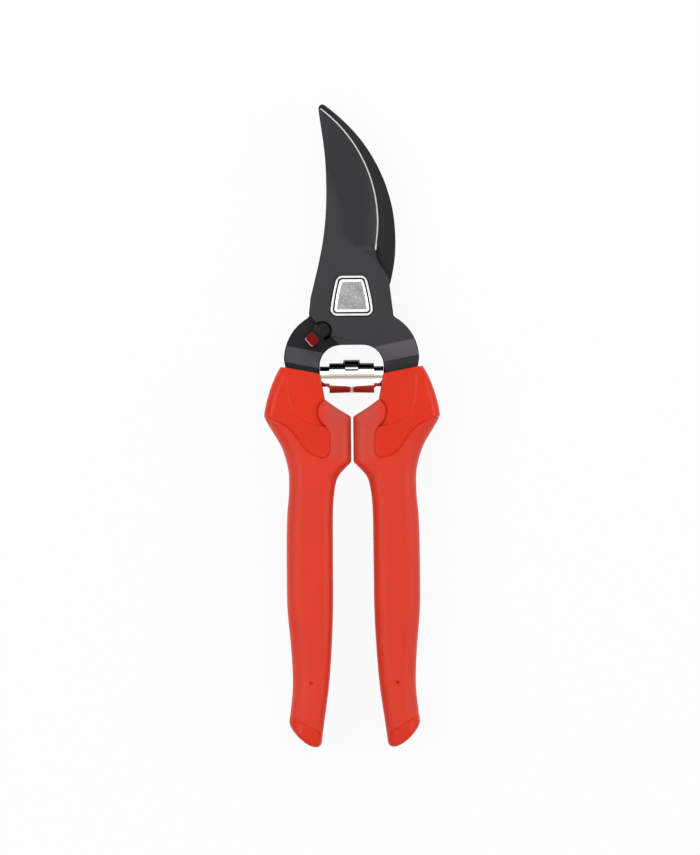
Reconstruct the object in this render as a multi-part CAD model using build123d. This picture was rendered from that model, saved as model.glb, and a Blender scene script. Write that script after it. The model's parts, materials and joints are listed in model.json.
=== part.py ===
from build123d import *
import os
from math import cos, dist, pi, radians, sin

# Pruning shears, closed and lying on their back. Millimetres. +X is right, +Y points to the blade's
# tip and +Z is up, out of the front face. Every outline is drawn about the pivot's axis, and the
# finished tool is moved to the bottom centre of its own box at the end.
# The right handle is drawn at positive x, and the left one is its mirror image.

# Thicknesses, and the stack of plates along Z
HANDLE_DEPTH = 19.0
HOOK_THICK = 4.0
BLADE_THICK = 3.5
PLATE_GAP = 0.05

# Jaws: the blade's cutting edge and back, and the hook behind it
BLADE_TIP = (-9.6, 63.15)
TIP_BEND = (-10.2, 62.4)
EDGE_BELLY = (9.55, 26.0)
EDGE_HEEL = (8.5, 14.7)
HEEL_BEND = [(8.95, 12.2), (10.1, 9.7), (12.2, 6.5)]
WAIST = (13.0, 2.9)
BACK_RUN = [
    (-13.6, -1.0), (-11.6, 7.1), (-9.45, 17.15), (-8.2, 28.0), (-8.0, 38.0), (-8.45, 47.4), (-9.45, 55.5),
    (-10.3, 61.4),
]
HOOK_TIP = [(-10.35, 62.6), (-9.05, 64.26), (-8.1, 63.85)]
HOOK_OUTER = [
    (-5.1, 61.45), (-0.75, 57.4), (4.5, 51.3), (9.4, 43.2), (12.65, 35.1), (14.5, 27.0), (15.1, 19.5),
    (14.65, 11.0), (13.9, 6.7),
]
JAW_OVERLAP = 2.6
THROAT_REACH = 12.9
HUB_RADIUS = 12.9

# The blade's ground face: a step down from the thick body, then a curve down to the edge
GRIND_LINE = [
    (-12.0, 46.0), (-8.4, 38.8), (-4.9, 29.0), (-4.0, 20.5), (1.4, 15.4), (4.8, 12.9), (7.6, 10.9),
    (10.0, 8.0), (12.4, 4.5),
]
GRIND_STEP = 0.6
HOLLOW_WIDTH = 10.0
EDGE_THICK = 0.7
BEVEL_WIDTH = 0.6
PLUNGE_RISE = 0.2

# Shoulders, and the tangs that run down into the handles
SHOULDER_CORNER = (14.2, -7.0)
SHOULDER_BEND = (20.5, -13.3)
SHOULDER_END = (22.7, -21.5)
CORNER_DROP = 0.6
WINDOW_TOP = -16.7
WINDOW_CORNER = 7.0
SPRING_SEAT_X = 10.75
TANG_NARROW_Y = -46.0
TANG_INNER_X = 10.7
TANG_WIDTH = 8.0
TANG_END_Y = -112.0
TANG_HOLES_Y = [-64.0, -90.0]
TANG_HOLE_RADIUS = 2.0
BEND_LEAN = 11.0
BEND_RUN = 5.4
BLADE_BEND_AT = 18.6
HOOK_BEND_AT = 20.7

# Pivot: bolt keyed in the blade, turning in a bush in the hook, with a washer and a nut behind
BOLT_RADIUS = 3.95
BOLT_RUN_CLEARANCE = 0.05
BOLT_FIT = 0.02
BUSH_WALL = 1.1
BOLT_HEAD_RADIUS = 4.9
BOLT_HEAD_THICK = 1.2
BOLT_HEAD_FLATS = 8.6
WASHER_RADIUS = 8.0
WASHER_THICK = 0.8
NUT_ACROSS_FLATS = 12.0
NUT_THICK = 3.2
NUT_CHAMFER = 0.6
BOLT_PROUD = 0.5

# Badge over the bolt's head
BADGE_CENTRE = (0.2, -0.3)
BADGE_HEIGHT = 13.4
BADGE_TOP_WIDTH = 9.6
BADGE_BOTTOM_WIDTH = 14.6
BADGE_BULGE = 0.35
BADGE_CORNER = 2.2
BADGE_POCKET = 1.0
BADGE_FIT = 0.05
CARRIER_THICK = 0.5
BEZEL_WIDTH = 0.75
BEZEL_PROUD = 0.7
BADGE_GROOVE = 0.45
PLATE_PROUD = 0.95
PLATE_BEVEL = 0.8
PLATE_BEVEL_DROP = 0.36

# Lock lever on the blade plate's lower left corner
LOCK_CENTRE = (-9.7, -11.9)
LOCK_ANGLE = 220.0
LOCK_SWING = 40.0
LOCK_SWEEP_CUTS = 5
LOCK_HUB_RADIUS = 2.5
LOCK_REACH = 6.3
LOCK_WIDTH = 3.9
LOCK_CORNER = 0.8
LOCK_THICK = 2.0
LOCK_LUG = 0.6
LOCK_CLEARANCE = 0.5
LOCK_POCKET = 1.55
LOCK_WASHER_THICK = 0.3
LOCK_RIVET_RADIUS = 1.2
LOCK_RIVET_HEAD = 2.3
LOCK_RIVET_DOME = 0.7
LOCK_RIVET_CHAMFER = 0.42
LOCK_RUN_CLEARANCE = 0.05

# Spring: one flat strip wound in a spiral about an axis along X, wide inside and narrow outside
SPRING_Y = -27.55
SPRING_OUTER_RADIUS = 6.1
SPRING_STRIP = 0.6
SPRING_COIL_GAP = 0.5
SPRING_HALF_TURNS = 6
SPRING_BODY_TURNS = 1.75
SPRING_TAPER_TURNS = 0.15
SPRING_END_GAP = 0.1
SPRING_BODY_LENGTH = 15.0
SPRING_TONGUE_WIDTH = 5.7
SPRING_TONGUE_SWEEP = 100.0
SPRING_START_ANGLE = 28.0
PEG_CLEARANCE = 0.4
PEG_LENGTH = 5.0
PEG_STEM_RADIUS = 1.0
PEG_STEM_LENGTH = 3.0
SOCKET_CLEARANCE = 0.5

# Handles: (y, inner edge, outer edge) down the right handle, in runs that meet at the sharp corners
FLANK_GAP = 0.75
FLANK_X = FLANK_GAP / 2
COLLAR_RUN = [(-20.0, 10.8, 21.4), (-28.5, 10.2, 26.2), (-35.0, 9.0, 28.4)]
FLANK_TOP_RUN = [(-35.0, 9.0, 28.4), (-38.0, 4.8, 29.1), (-40.7, FLANK_X, 29.5)]
FLANK_RUN = [(-40.7, FLANK_X, 29.5), (-45.0, FLANK_X, 27.1), (-50.0, FLANK_X, 24.1), (-56.0, FLANK_X, 22.0)]
GRIP_RUN = [
    (-56.0, FLANK_X, 22.0), (-58.0, 2.4, 21.6), (-60.7, 4.7, 21.3), (-63.5, 5.7, 21.3), (-67.0, 6.27, 21.4),
    (-71.0, 6.6, 21.8), (-76.0, 6.74, 22.11), (-82.0, 6.78, 22.26), (-89.0, 6.82, 22.32),
    (-97.0, 6.85, 22.33), (-106.0, 6.95, 22.15), (-115.0, 7.31, 21.36), (-123.0, 7.8, 20.8),
    (-131.0, 8.5, 20.65), (-138.0, 9.43, 21.28), (-145.5, 10.49, 22.26), (-153.0, 11.4, 23.0),
]
COLLAR_OUTER_ROUND = 4.0
COLLAR_INNER_ROUND = 3.0
GRIP_OUTER_ROUND = 5.8
GRIP_INNER_ROUND = 4.6
RIM_OUTER = (23.9, -23.9)
RIM_INNER = (10.7, -26.4)
RIM_ROUND = 0.4
GRIP_WALL = 2.2
MOULD_GAP = 0.03
BACK_LAND = 0.3
STEM_RUN = [
    (-33.0, 10.4, 25.0), (-58.0, 9.0, 19.2), (-104.0, 9.1, 20.1), (-131.0, 10.7, 18.4), (-147.0, 12.4, 18.8),
]
STEM_ROUND = 2.8

# Where the hard collar meets the soft grip, with the collar's tongue beside the flank
SEAM_LOWER = [(29.4, -41.1), (23.8, -43.0), (20.0, -45.7), (16.8, -50.3), (13.1, -53.7), (9.6, -54.7)]
TONGUE_END = (7.75, -53.4)
TONGUE_SIDE = [(7.4, -51.5), (7.5, -46.6)]
SEAM_FLANK = [(8.3, -45.0), (10.1, -42.7), (11.3, -39.0), (10.5, -36.3), (8.9, -34.85)]
SEAM_RISE = 4.0
CREASE = [(22.6, -22.0), (22.0, -29.3), (20.8, -37.1), (17.6, -41.7), (12.7, -43.9), (6.0, -44.3)]
FACE_TILT = 5.0

# Hard tail tip below the grip, and its slanted end
TAIL_SEAM = [(23.5, -138.6), (17.4, -143.2), (9.0, -147.2)]
TAIL_CUT = [(24.0, -141.7), (18.6, -148.0), (13.4, -151.2), (8.0, -151.3)]
TAIL_ROUND = 1.8
DIMPLE_PLACE = (14.5, -129.6)
DIMPLE_RADIUS = 0.6
DIMPLE_DEPTH = 1.2

# Spring radii that follow
SPRING_PITCH = SPRING_STRIP + SPRING_COIL_GAP
SPRING_BODY_RADIUS = SPRING_OUTER_RADIUS - SPRING_BODY_TURNS * SPRING_PITCH
SPRING_END_RADIUS = SPRING_BODY_RADIUS - SPRING_TAPER_TURNS * SPRING_PITCH
SPRING_BORE_RADIUS = SPRING_OUTER_RADIUS - SPRING_HALF_TURNS * SPRING_PITCH / 2 - SPRING_STRIP

# Levels of the stack
MID_Z = HANDLE_DEPTH / 2
HOOK_BOTTOM = MID_Z - HOOK_THICK
BLADE_BOTTOM = MID_Z + PLATE_GAP
BLADE_TOP = BLADE_BOTTOM + BLADE_THICK
BADGE_FLOOR = BLADE_TOP - BADGE_POCKET
BOLT_HEAD_FLOOR = BADGE_FLOOR - BOLT_HEAD_THICK
LOCK_FLOOR = BLADE_TOP - LOCK_POCKET
LOCK_BOTTOM = LOCK_FLOOR + LOCK_WASHER_THICK
LOCK_TOP = LOCK_BOTTOM + LOCK_THICK
WASHER_TOP = HOOK_BOTTOM - PLATE_GAP
NUT_TOP = WASHER_TOP - WASHER_THICK
NUT_BOTTOM = NUT_TOP - NUT_THICK

# Share of a quarter arc's radius by which its middle stands off its corner
QUARTER = 1 - cos(pi / 4)

# Samples along each half turn when the gap between the turns is measured, and how many are compared
GAP_STEPS = 24
GAP_SEARCH = 6

# How far a cutter reaches past what it cuts
OVER = 20.0
FAR = 200.0


def mirrored(points):
    """The same points on the left side."""
    return [(-x, y) for x, y in points]


def prism(face, bottom, top):
    """A flat face pulled up from one level to another."""
    return extrude(Pos(0, 0, bottom) * face, top - bottom)


def disc(place, radius, bottom, top):
    """An upright round bar."""
    return prism(Pos(place[0], place[1]) * Circle(radius), bottom, top)


def arc_centre(a, b, c):
    """Centre of the circle through three points."""
    arc = ThreePointArc(a, b, c)
    return (arc.arc_center.X, arc.arc_center.Y)


def joggled_slab(side, plate_bottom, thick, bend_at):
    """A wide slab at the plate's level that steps to the handles' middle across a leaning line."""
    lean = radians(BEND_LEAN)
    along = Vector(side * sin(lean), -cos(lean), 0)
    plane = Plane(origin=(0, 0, 0), x_dir=along, z_dir=(along.Y, -along.X, 0))
    tang_bottom = MID_Z - thick / 2
    bend_end = bend_at + BEND_RUN
    lower = [(-FAR, plate_bottom), (bend_at, plate_bottom), (bend_end, tang_bottom), (FAR, tang_bottom)]
    upper = [(v, z + thick) for v, z in reversed(lower)]
    profile = make_face(Polyline(*lower, *upper, close=True))
    return extrude(plane * profile, FAR / 2, both=True)


def tang_edges(side):
    """Outer and inner edges of a tang, from the shoulder round its end to the window's corner."""
    outer_x = TANG_INNER_X + TANG_WIDTH
    round_y = TANG_END_Y + TANG_WIDTH / 2
    middle_x = TANG_INNER_X + TANG_WIDTH / 2
    window_side = (SPRING_SEAT_X, WINDOW_TOP - WINDOW_CORNER)
    window_bend = (SPRING_SEAT_X - QUARTER * WINDOW_CORNER, WINDOW_TOP - QUARTER * WINDOW_CORNER)
    window_end = (SPRING_SEAT_X - WINDOW_CORNER, WINDOW_TOP)
    seat_end = (SPRING_SEAT_X, SPRING_Y - SPRING_OUTER_RADIUS)
    corner = (SHOULDER_CORNER[0] + CORNER_DROP, SHOULDER_CORNER[1] - CORNER_DROP)

    def put(points):
        return points if side > 0 else mirrored(points)

    return [
        Line(*put([SHOULDER_CORNER, corner])),
        ThreePointArc(*put([corner, SHOULDER_BEND, SHOULDER_END])),
        Polyline(*put([SHOULDER_END, (outer_x, TANG_NARROW_Y), (outer_x, round_y)])),
        ThreePointArc(*put([(outer_x, round_y), (middle_x, TANG_END_Y), (TANG_INNER_X, round_y)])),
        Polyline(*put([(TANG_INNER_X, round_y), (TANG_INNER_X, TANG_NARROW_Y), seat_end, window_side])),
        ThreePointArc(*put([window_side, window_bend, window_end])),
    ]


def drill_tang(plate, side):
    """Holes through the tang that the handle's core flows into, and the spring peg's hole."""
    middle_x = side * (TANG_INNER_X + TANG_WIDTH / 2)
    for y in TANG_HOLES_Y:
        plate -= disc((middle_x, y), TANG_HOLE_RADIUS, -OVER, HANDLE_DEPTH + OVER)
    return plate - peg_bar(side, PEG_STEM_RADIUS, SPRING_SEAT_X - PEG_LENGTH, SPRING_SEAT_X + PEG_STEM_LENGTH)


def peg_bar(side, radius, start, end):
    """A round bar along X on the spring's axis, from one distance off the middle to another."""
    start_plane = Plane(origin=(side * start, SPRING_Y, MID_Z), x_dir=(0, 1, 0), z_dir=(side, 0, 0))
    return extrude(start_plane * Circle(radius), end - start)


def lock_shape(grow, turn):
    """The lever's outline about its own hub, grown by a clearance and turned by an angle."""
    reach = LOCK_REACH + grow
    tongue = Pos(reach / 2, 0) * Rectangle(reach, LOCK_WIDTH + 2 * grow)
    tongue = fillet(tongue.vertices().group_by(Axis.X)[-1], LOCK_CORNER + grow)
    shape = Circle(LOCK_HUB_RADIUS + grow) + tongue
    return Pos(*LOCK_CENTRE) * Rot(0, 0, LOCK_ANGLE + turn) * shape


def badge_outline(inset):
    """The badge's rounded outline, wider at the bottom, drawn in by an inset."""
    half = BADGE_HEIGHT / 2
    top = BADGE_TOP_WIDTH / 2
    bottom = BADGE_BOTTOM_WIDTH / 2
    side = (top + bottom) / 2 + BADGE_BULGE
    shape = make_face([
        Line((-top, half), (top, half)),
        ThreePointArc((top, half), (side, 0), (bottom, -half)),
        Line((bottom, -half), (-bottom, -half)),
        ThreePointArc((-bottom, -half), (-side, 0), (-top, half)),
    ])
    shape = fillet(shape.vertices(), BADGE_CORNER)
    return Pos(*BADGE_CENTRE) * (offset(shape, amount=-inset) if inset else shape)


def bolt_head_shape(fit):
    """The bolt head's disc with two flats, grown by a fit."""
    return Circle(BOLT_HEAD_RADIUS + fit) & Rectangle(2 * FAR, BOLT_HEAD_FLATS + 2 * fit)


def grind_cutter():
    """What grinding takes off the blade's front: above a flat, a hollow and the edge's bevel."""
    centre = arc_centre(BLADE_TIP, EDGE_BELLY, EDGE_HEEL)
    edge_radius = dist(centre, EDGE_BELLY)
    flat_z = BLADE_TOP - GRIND_STEP
    hollow_start = edge_radius - HOLLOW_WIDTH
    bevel_start = edge_radius - BEVEL_WIDTH
    bevel_z = BLADE_BOTTOM + EDGE_THICK
    bevel_slope = EDGE_THICK / BEVEL_WIDTH
    past_edge = edge_radius + BEVEL_WIDTH
    past_z = BLADE_BOTTOM - BEVEL_WIDTH * bevel_slope
    profile = make_face([
        Line((0, flat_z), (hollow_start, flat_z)),
        TangentArc((hollow_start, flat_z), (bevel_start, bevel_z), tangent=(1, 0)),
        Line((bevel_start, bevel_z), (past_edge, past_z)),
        Polyline((past_edge, past_z), (past_edge, HANDLE_DEPTH), (0, HANDLE_DEPTH), (0, flat_z)),
    ])
    ground = revolve(Plane.XZ * profile, Axis.Z)
    line = Spline(*GRIND_LINE)
    start, end = GRIND_LINE[0], GRIND_LINE[-1]
    frame = Polyline(end, (FAR, end[1]), (FAR, FAR), (start[0], FAR), start)
    region = make_face([line, frame])
    step = prism(region, flat_z, HANDLE_DEPTH + OVER)
    sharpened = Pos(0, EDGE_HEEL[1] + PLUNGE_RISE + FAR) * Rectangle(2 * FAR, 2 * FAR)
    deep = prism(region & sharpened, BLADE_BOTTOM - OVER, HANDLE_DEPTH + OVER)
    return step + (deep & (Pos(centre[0], centre[1]) * ground))


def make_cutting_blade():
    """The front plate: ground blade, pivot body and the right tang."""
    window_left = (-SPRING_SEAT_X + WINDOW_CORNER, WINDOW_TOP)
    window_right = (SPRING_SEAT_X - WINDOW_CORNER, WINDOW_TOP)
    left_corner = (-SHOULDER_CORNER[0], SHOULDER_CORNER[1] + CORNER_DROP)
    outline = make_face([
        ThreePointArc(BLADE_TIP, EDGE_BELLY, EDGE_HEEL),
        Spline(EDGE_HEEL, *HEEL_BEND, WAIST),
        Line(WAIST, SHOULDER_CORNER),
        *tang_edges(1),
        Polyline(window_right, window_left, LOCK_CENTRE, left_corner, BACK_RUN[0]),
        Spline(*BACK_RUN),
        ThreePointArc(BACK_RUN[-1], TIP_BEND, BLADE_TIP),
    ])
    outline += Pos(*LOCK_CENTRE) * Circle(LOCK_HUB_RADIUS + LOCK_LUG)
    slab = joggled_slab(1, BLADE_BOTTOM, BLADE_THICK, BLADE_BEND_AT)
    plate = prism(outline, -OVER, HANDLE_DEPTH + OVER) & slab
    plate -= grind_cutter()
    plate -= prism(badge_outline(-BADGE_FIT), BADGE_FLOOR, BLADE_TOP + OVER)
    plate -= prism(bolt_head_shape(BOLT_FIT), BOLT_HEAD_FLOOR, BLADE_TOP)
    plate -= disc((0, 0), BOLT_RADIUS + BOLT_FIT, -OVER, BLADE_TOP)
    for step in range(LOCK_SWEEP_CUTS):
        turn = -LOCK_SWING * step / (LOCK_SWEEP_CUTS - 1)
        plate -= prism(lock_shape(LOCK_CLEARANCE, turn), LOCK_FLOOR, BLADE_TOP + OVER)
    plate -= disc(LOCK_CENTRE, LOCK_RIVET_RADIUS + BOLT_FIT, -OVER, BLADE_TOP)
    return drill_tang(plate, 1)


def make_hook_blade():
    """The rear plate: hooked counter blade, hub and the left tang."""
    centre = arc_centre(BLADE_TIP, EDGE_BELLY, EDGE_HEEL)
    inner_radius = dist(centre, EDGE_BELLY) - JAW_OVERLAP
    jaw_body = make_face([
        Spline(HOOK_TIP[-1], *HOOK_OUTER, WAIST),
        Polyline(WAIST, (0, 0), HOOK_TIP[0]),
        ThreePointArc(*HOOK_TIP),
    ])
    jaw = jaw_body - Pos(*centre) * Circle(inner_radius)
    throat = Circle(THROAT_REACH) & jaw_body
    window_left = (-SPRING_SEAT_X + WINDOW_CORNER, WINDOW_TOP)
    left_corner = (-SHOULDER_CORNER[0], SHOULDER_CORNER[1])
    arm = make_face([
        *tang_edges(-1),
        Polyline(window_left, (0, -HUB_RADIUS), (0, 0), (-HUB_RADIUS, 0), left_corner),
    ])
    outline = jaw + throat + Circle(HUB_RADIUS) + arm
    slab = joggled_slab(-1, HOOK_BOTTOM, HOOK_THICK, HOOK_BEND_AT)
    plate = prism(outline, -OVER, HANDLE_DEPTH + OVER) & slab
    plate -= disc((0, 0), BOLT_RADIUS + BOLT_RUN_CLEARANCE + BUSH_WALL, -OVER, HANDLE_DEPTH)
    return drill_tang(plate, -1)


def make_pivot_bolt():
    """Bolt with a keyed flat head, under the badge, down to its end behind the nut."""
    head = prism(bolt_head_shape(0), BOLT_HEAD_FLOOR, BADGE_FLOOR)
    return head + disc((0, 0), BOLT_RADIUS, NUT_BOTTOM - BOLT_PROUD, BOLT_HEAD_FLOOR)


def make_pivot_bush():
    """Bearing sleeve pressed into the hook, in which the bolt turns."""
    inner = BOLT_RADIUS + BOLT_RUN_CLEARANCE
    return disc((0, 0), inner + BUSH_WALL, HOOK_BOTTOM, MID_Z) - disc((0, 0), inner, -OVER, HANDLE_DEPTH)


def make_pivot_washer():
    """Flat washer between the hook and the nut."""
    washer = disc((0, 0), WASHER_RADIUS, NUT_TOP, WASHER_TOP)
    return washer - disc((0, 0), BOLT_RADIUS + BOLT_FIT, -OVER, HANDLE_DEPTH)


def make_pivot_nut():
    """Hexagon nut behind the washer, with its corners turned off."""
    hexagon = RegularPolygon(NUT_ACROSS_FLATS / 2, 6, major_radius=False)
    nut = prism(hexagon, NUT_BOTTOM, NUT_TOP)
    corner = NUT_ACROSS_FLATS / 2 / cos(pi / 6)
    turned = disc((0, 0), corner, NUT_BOTTOM, NUT_TOP)
    turned = chamfer(turned.edges().sort_by(Axis.Z)[0], NUT_CHAMFER)
    return (nut & turned) - disc((0, 0), BOLT_RADIUS + BOLT_FIT, -OVER, HANDLE_DEPTH)


def make_badge():
    """Dark carrier in the blade's pocket, a bright rim round it, and a bevelled plate inside the rim."""
    carrier_top = BADGE_FLOOR + CARRIER_THICK
    carrier = prism(badge_outline(0), BADGE_FLOOR, carrier_top)
    rim = prism(badge_outline(0) - badge_outline(BEZEL_WIDTH), carrier_top, BLADE_TOP + BEZEL_PROUD)
    plate = prism(badge_outline(BEZEL_WIDTH + BADGE_GROOVE), carrier_top, BLADE_TOP + PLATE_PROUD)
    plate = chamfer(plate.faces().sort_by(Axis.Z)[-1].edges(), length=PLATE_BEVEL_DROP, length2=PLATE_BEVEL)
    return carrier, rim, plate


def make_lock_lever():
    """Tab with a round hub that turns on the rivet."""
    lever = prism(lock_shape(0, 0), LOCK_BOTTOM, LOCK_TOP)
    return lever - disc(LOCK_CENTRE, LOCK_RIVET_RADIUS + LOCK_RUN_CLEARANCE, -OVER, HANDLE_DEPTH + OVER)


def make_lock_rivet():
    """Rivet with a low round head that carries the lever."""
    stem = disc(LOCK_CENTRE, LOCK_RIVET_RADIUS, BLADE_BOTTOM, LOCK_TOP + PLATE_GAP)
    head = disc(LOCK_CENTRE, LOCK_RIVET_HEAD, LOCK_TOP + PLATE_GAP, LOCK_TOP + PLATE_GAP + LOCK_RIVET_DOME)
    head = chamfer(head.edges().sort_by(Axis.Z)[-1], LOCK_RIVET_CHAMFER)
    return stem + head


def make_lock_washer():
    """Thin friction washer between the lever and the blade."""
    ring = disc(LOCK_CENTRE, LOCK_HUB_RADIUS, LOCK_FLOOR, LOCK_BOTTOM - PLATE_GAP)
    return ring - disc(LOCK_CENTRE, LOCK_RIVET_RADIUS + BOLT_FIT, -OVER, HANDLE_DEPTH + OVER)


def spiral_arcs(inset):
    """Half-turn arcs of the spring's spiral, about two centres in turn, drawn in by an inset."""
    quarter = SPRING_PITCH / 4
    arcs = []
    for turn in range(SPRING_HALF_TURNS):
        side = 1 if turn % 2 == 0 else -1
        radius = SPRING_OUTER_RADIUS - (2 * turn + 1) * quarter - inset
        arcs.append(CenterArc((side * quarter, 0), radius, 0 if side > 0 else 180, 180))
    return arcs


def make_volute_spring():
    """One strip in a spiral: a narrow tongue outside, a wide body, and turns that reach both seats."""
    outside, inside = spiral_arcs(0), spiral_arcs(SPRING_STRIP)
    ends = [Line(outside[0] @ 0, inside[0] @ 0), Line(outside[-1] @ 1, inside[-1] @ 1)]
    half_length = SPRING_SEAT_X - SPRING_END_GAP
    body_half = SPRING_BODY_LENGTH / 2
    band = extrude(make_face([*outside, *inside, *ends]), half_length, both=True)
    upper = [(OVER, body_half), (SPRING_BODY_RADIUS, body_half)]
    upper += [(SPRING_END_RADIUS, half_length), (0, half_length)]
    lower = [(radius, -z) for radius, z in reversed(upper)]
    hull = make_face(Polyline(*upper, *lower, close=True))
    strip = band & revolve(Plane.XZ * hull, Axis.Z)
    outer_layer = SPRING_OUTER_RADIUS - SPRING_STRIP - SPRING_COIL_GAP / 2
    sector = make_face([
        Line((0, 0), (2 * SPRING_OUTER_RADIUS, 0)),
        CenterArc((0, 0), 2 * SPRING_OUTER_RADIUS, 0, SPRING_TONGUE_SWEEP),
        Line((0, 0), Vector(2 * SPRING_OUTER_RADIUS, 0).rotate(Axis.Z, SPRING_TONGUE_SWEEP)),
    ]) - Circle(outer_layer)
    for side in (1, -1):
        end_block = extrude(Pos(0, 0, side * SPRING_TONGUE_WIDTH / 2) * sector, side * SPRING_SEAT_X)
        strip -= end_block
    start = radians(SPRING_START_ANGLE)
    stand = Plane(origin=(0, SPRING_Y, MID_Z), x_dir=(0, sin(start), cos(start)), z_dir=(-1, 0, 0))
    return stand * strip


def spring_gap():
    """Least gap between neighbouring turns, measured on points of the strip's two faces."""
    steps = [i / GAP_STEPS for i in range(GAP_STEPS + 1)]
    outside = [arc @ s for arc in spiral_arcs(0) for s in steps]
    inside = [arc @ s for arc in spiral_arcs(SPRING_STRIP) for s in steps]
    turn = 2 * len(steps)
    gaps = []
    for i, point in enumerate(inside):
        near = outside[i + turn - GAP_SEARCH:i + turn + GAP_SEARCH + 1]
        gaps += [(point - other).length for other in near]
    return min(gaps)


def make_spring_peg(side):
    """Pin pressed into the tang's edge that the spring's end sits over."""
    peg = peg_bar(side, SPRING_BORE_RADIUS - PEG_CLEARANCE, SPRING_SEAT_X - PEG_LENGTH, SPRING_SEAT_X)
    return peg + peg_bar(side, PEG_STEM_RADIUS, SPRING_SEAT_X, SPRING_SEAT_X + PEG_STEM_LENGTH)


def handle_section(station, depth, outer_round, inner_round):
    """Rounded section across the handle at one station, from the front down to a depth."""
    y, inner, outer = station
    shape = Pos((outer + inner) / 2, -depth / 2) * Rectangle(outer - inner, depth)
    shape = fillet(shape.vertices().group_by(Axis.X)[0], inner_round)
    shape = fillet(shape.vertices().group_by(Axis.X)[-1], outer_round)
    return Plane(origin=(0, y, HANDLE_DEPTH), x_dir=(1, 0, 0), z_dir=(0, -1, 0)) * shape


def handle_body():
    """The whole outside of the right handle, collar to tail, with a flat land along its back."""
    depth = HANDLE_DEPTH + BACK_LAND
    collar = (depth, COLLAR_OUTER_ROUND, COLLAR_INNER_ROUND)
    grip = (depth, GRIP_OUTER_ROUND, GRIP_INNER_ROUND)
    body = loft([handle_section(station, *collar) for station in COLLAR_RUN])
    body += loft([handle_section(station, *collar) for station in FLANK_TOP_RUN])
    flank = [handle_section(station, *grip) for station in FLANK_RUN[1:]]
    body += loft([handle_section(FLANK_RUN[0], *collar), *flank])
    body += loft([handle_section(station, *grip) for station in GRIP_RUN])
    rim_slope = (RIM_OUTER[1] - RIM_INNER[1]) / (RIM_OUTER[0] - RIM_INNER[0])
    rim_left = (0, RIM_INNER[1] - RIM_INNER[0] * rim_slope)
    rim_right = (2 * RIM_OUTER[0], RIM_OUTER[1] + RIM_OUTER[0] * rim_slope)
    above = Polyline(rim_left, rim_right, (rim_right[0], 0), (0, 0), close=True)
    body -= prism(make_face(above), -OVER, HANDLE_DEPTH + OVER)
    start, end = TAIL_CUT[0], TAIL_CUT[-1]
    below = [Spline(*TAIL_CUT), Polyline(end, (end[0], -FAR), (FAR, -FAR), (FAR, start[1]), start)]
    body -= prism(make_face(below), -OVER, HANDLE_DEPTH + OVER)
    rim_middle = ((RIM_OUTER[0] + RIM_INNER[0]) / 2, (RIM_OUTER[1] + RIM_INNER[1]) / 2)
    for place, radius in ((rim_middle, RIM_ROUND), (TAIL_CUT[1], TAIL_ROUND)):
        spot = Vector(*place, MID_Z)
        end_face = min(body.faces(), key=lambda face: face.distance_to(spot))
        body = fillet(end_face.edges(), radius)
    return body - prism(Rectangle(2 * FAR, 2 * FAR), -OVER, 0)


def stem_body(grow):
    """The hard core inside the grip, grown by a moulding gap."""
    depth = HANDLE_DEPTH - 2 * GRIP_WALL + 2 * grow
    stations = [(y, inner - grow, outer + grow) for y, inner, outer in STEM_RUN]
    stem = loft([handle_section(station, depth, STEM_ROUND, STEM_ROUND) for station in stations], ruled=True)
    return Pos(0, 0, grow - GRIP_WALL) * stem


def collar_region():
    """Everything above the seam between collar and grip, tongue included."""
    start, end = SEAM_FLANK[-1], SEAM_LOWER[0]
    edges = [
        Spline(*SEAM_LOWER),
        ThreePointArc(SEAM_LOWER[-1], TONGUE_END, TONGUE_SIDE[0]),
        Line(*TONGUE_SIDE),
        Spline(TONGUE_SIDE[1], *SEAM_FLANK),
        Polyline(start, (0, start[1] + SEAM_RISE), (0, 0), (FAR, 0), (FAR, end[1]), end),
    ]
    return prism(make_face(edges), -OVER, HANDLE_DEPTH + OVER)


def tail_region():
    """Everything below the seam between grip and tail tip."""
    start, end = TAIL_SEAM[0], TAIL_SEAM[-1]
    edges = [ThreePointArc(*TAIL_SEAM), Polyline(end, (end[0], -FAR), (FAR, -FAR), (FAR, start[1]), start)]
    return prism(make_face(edges), -OVER, HANDLE_DEPTH + OVER)


def face_cutter():
    """Tilted cut that leaves the collar's front face lower than its outer facet and tongue."""
    start, end = CREASE[0], CREASE[-1]
    edges = [Spline(*CREASE), Polyline(end, (0, end[1]), (0, start[1]), start)]
    region = prism(make_face(edges), MID_Z, HANDLE_DEPTH + OVER)
    slab = Box(4 * OVER, 4 * FAR, OVER, align=(Align.CENTER, Align.CENTER, Align.MIN))
    return region & (Pos(start[0], 0, HANDLE_DEPTH) * Rot(0, -FACE_TILT, 0) * slab)


def make_handle():
    """The right handle: hard core with collar, stem and tail tip, and the soft grip moulded round it."""
    body, collar, tail = handle_body(), collar_region(), tail_region()
    core = ((body & collar) - face_cutter()) + stem_body(0) + (body & tail)
    core -= peg_bar(1, SPRING_END_RADIUS + SOCKET_CLEARANCE, 0, SPRING_SEAT_X)
    grip = body - collar - tail - stem_body(MOULD_GAP)
    grip -= disc(DIMPLE_PLACE, DIMPLE_RADIUS, HANDLE_DEPTH - DIMPLE_DEPTH, HANDLE_DEPTH + OVER)
    return core, grip


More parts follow.
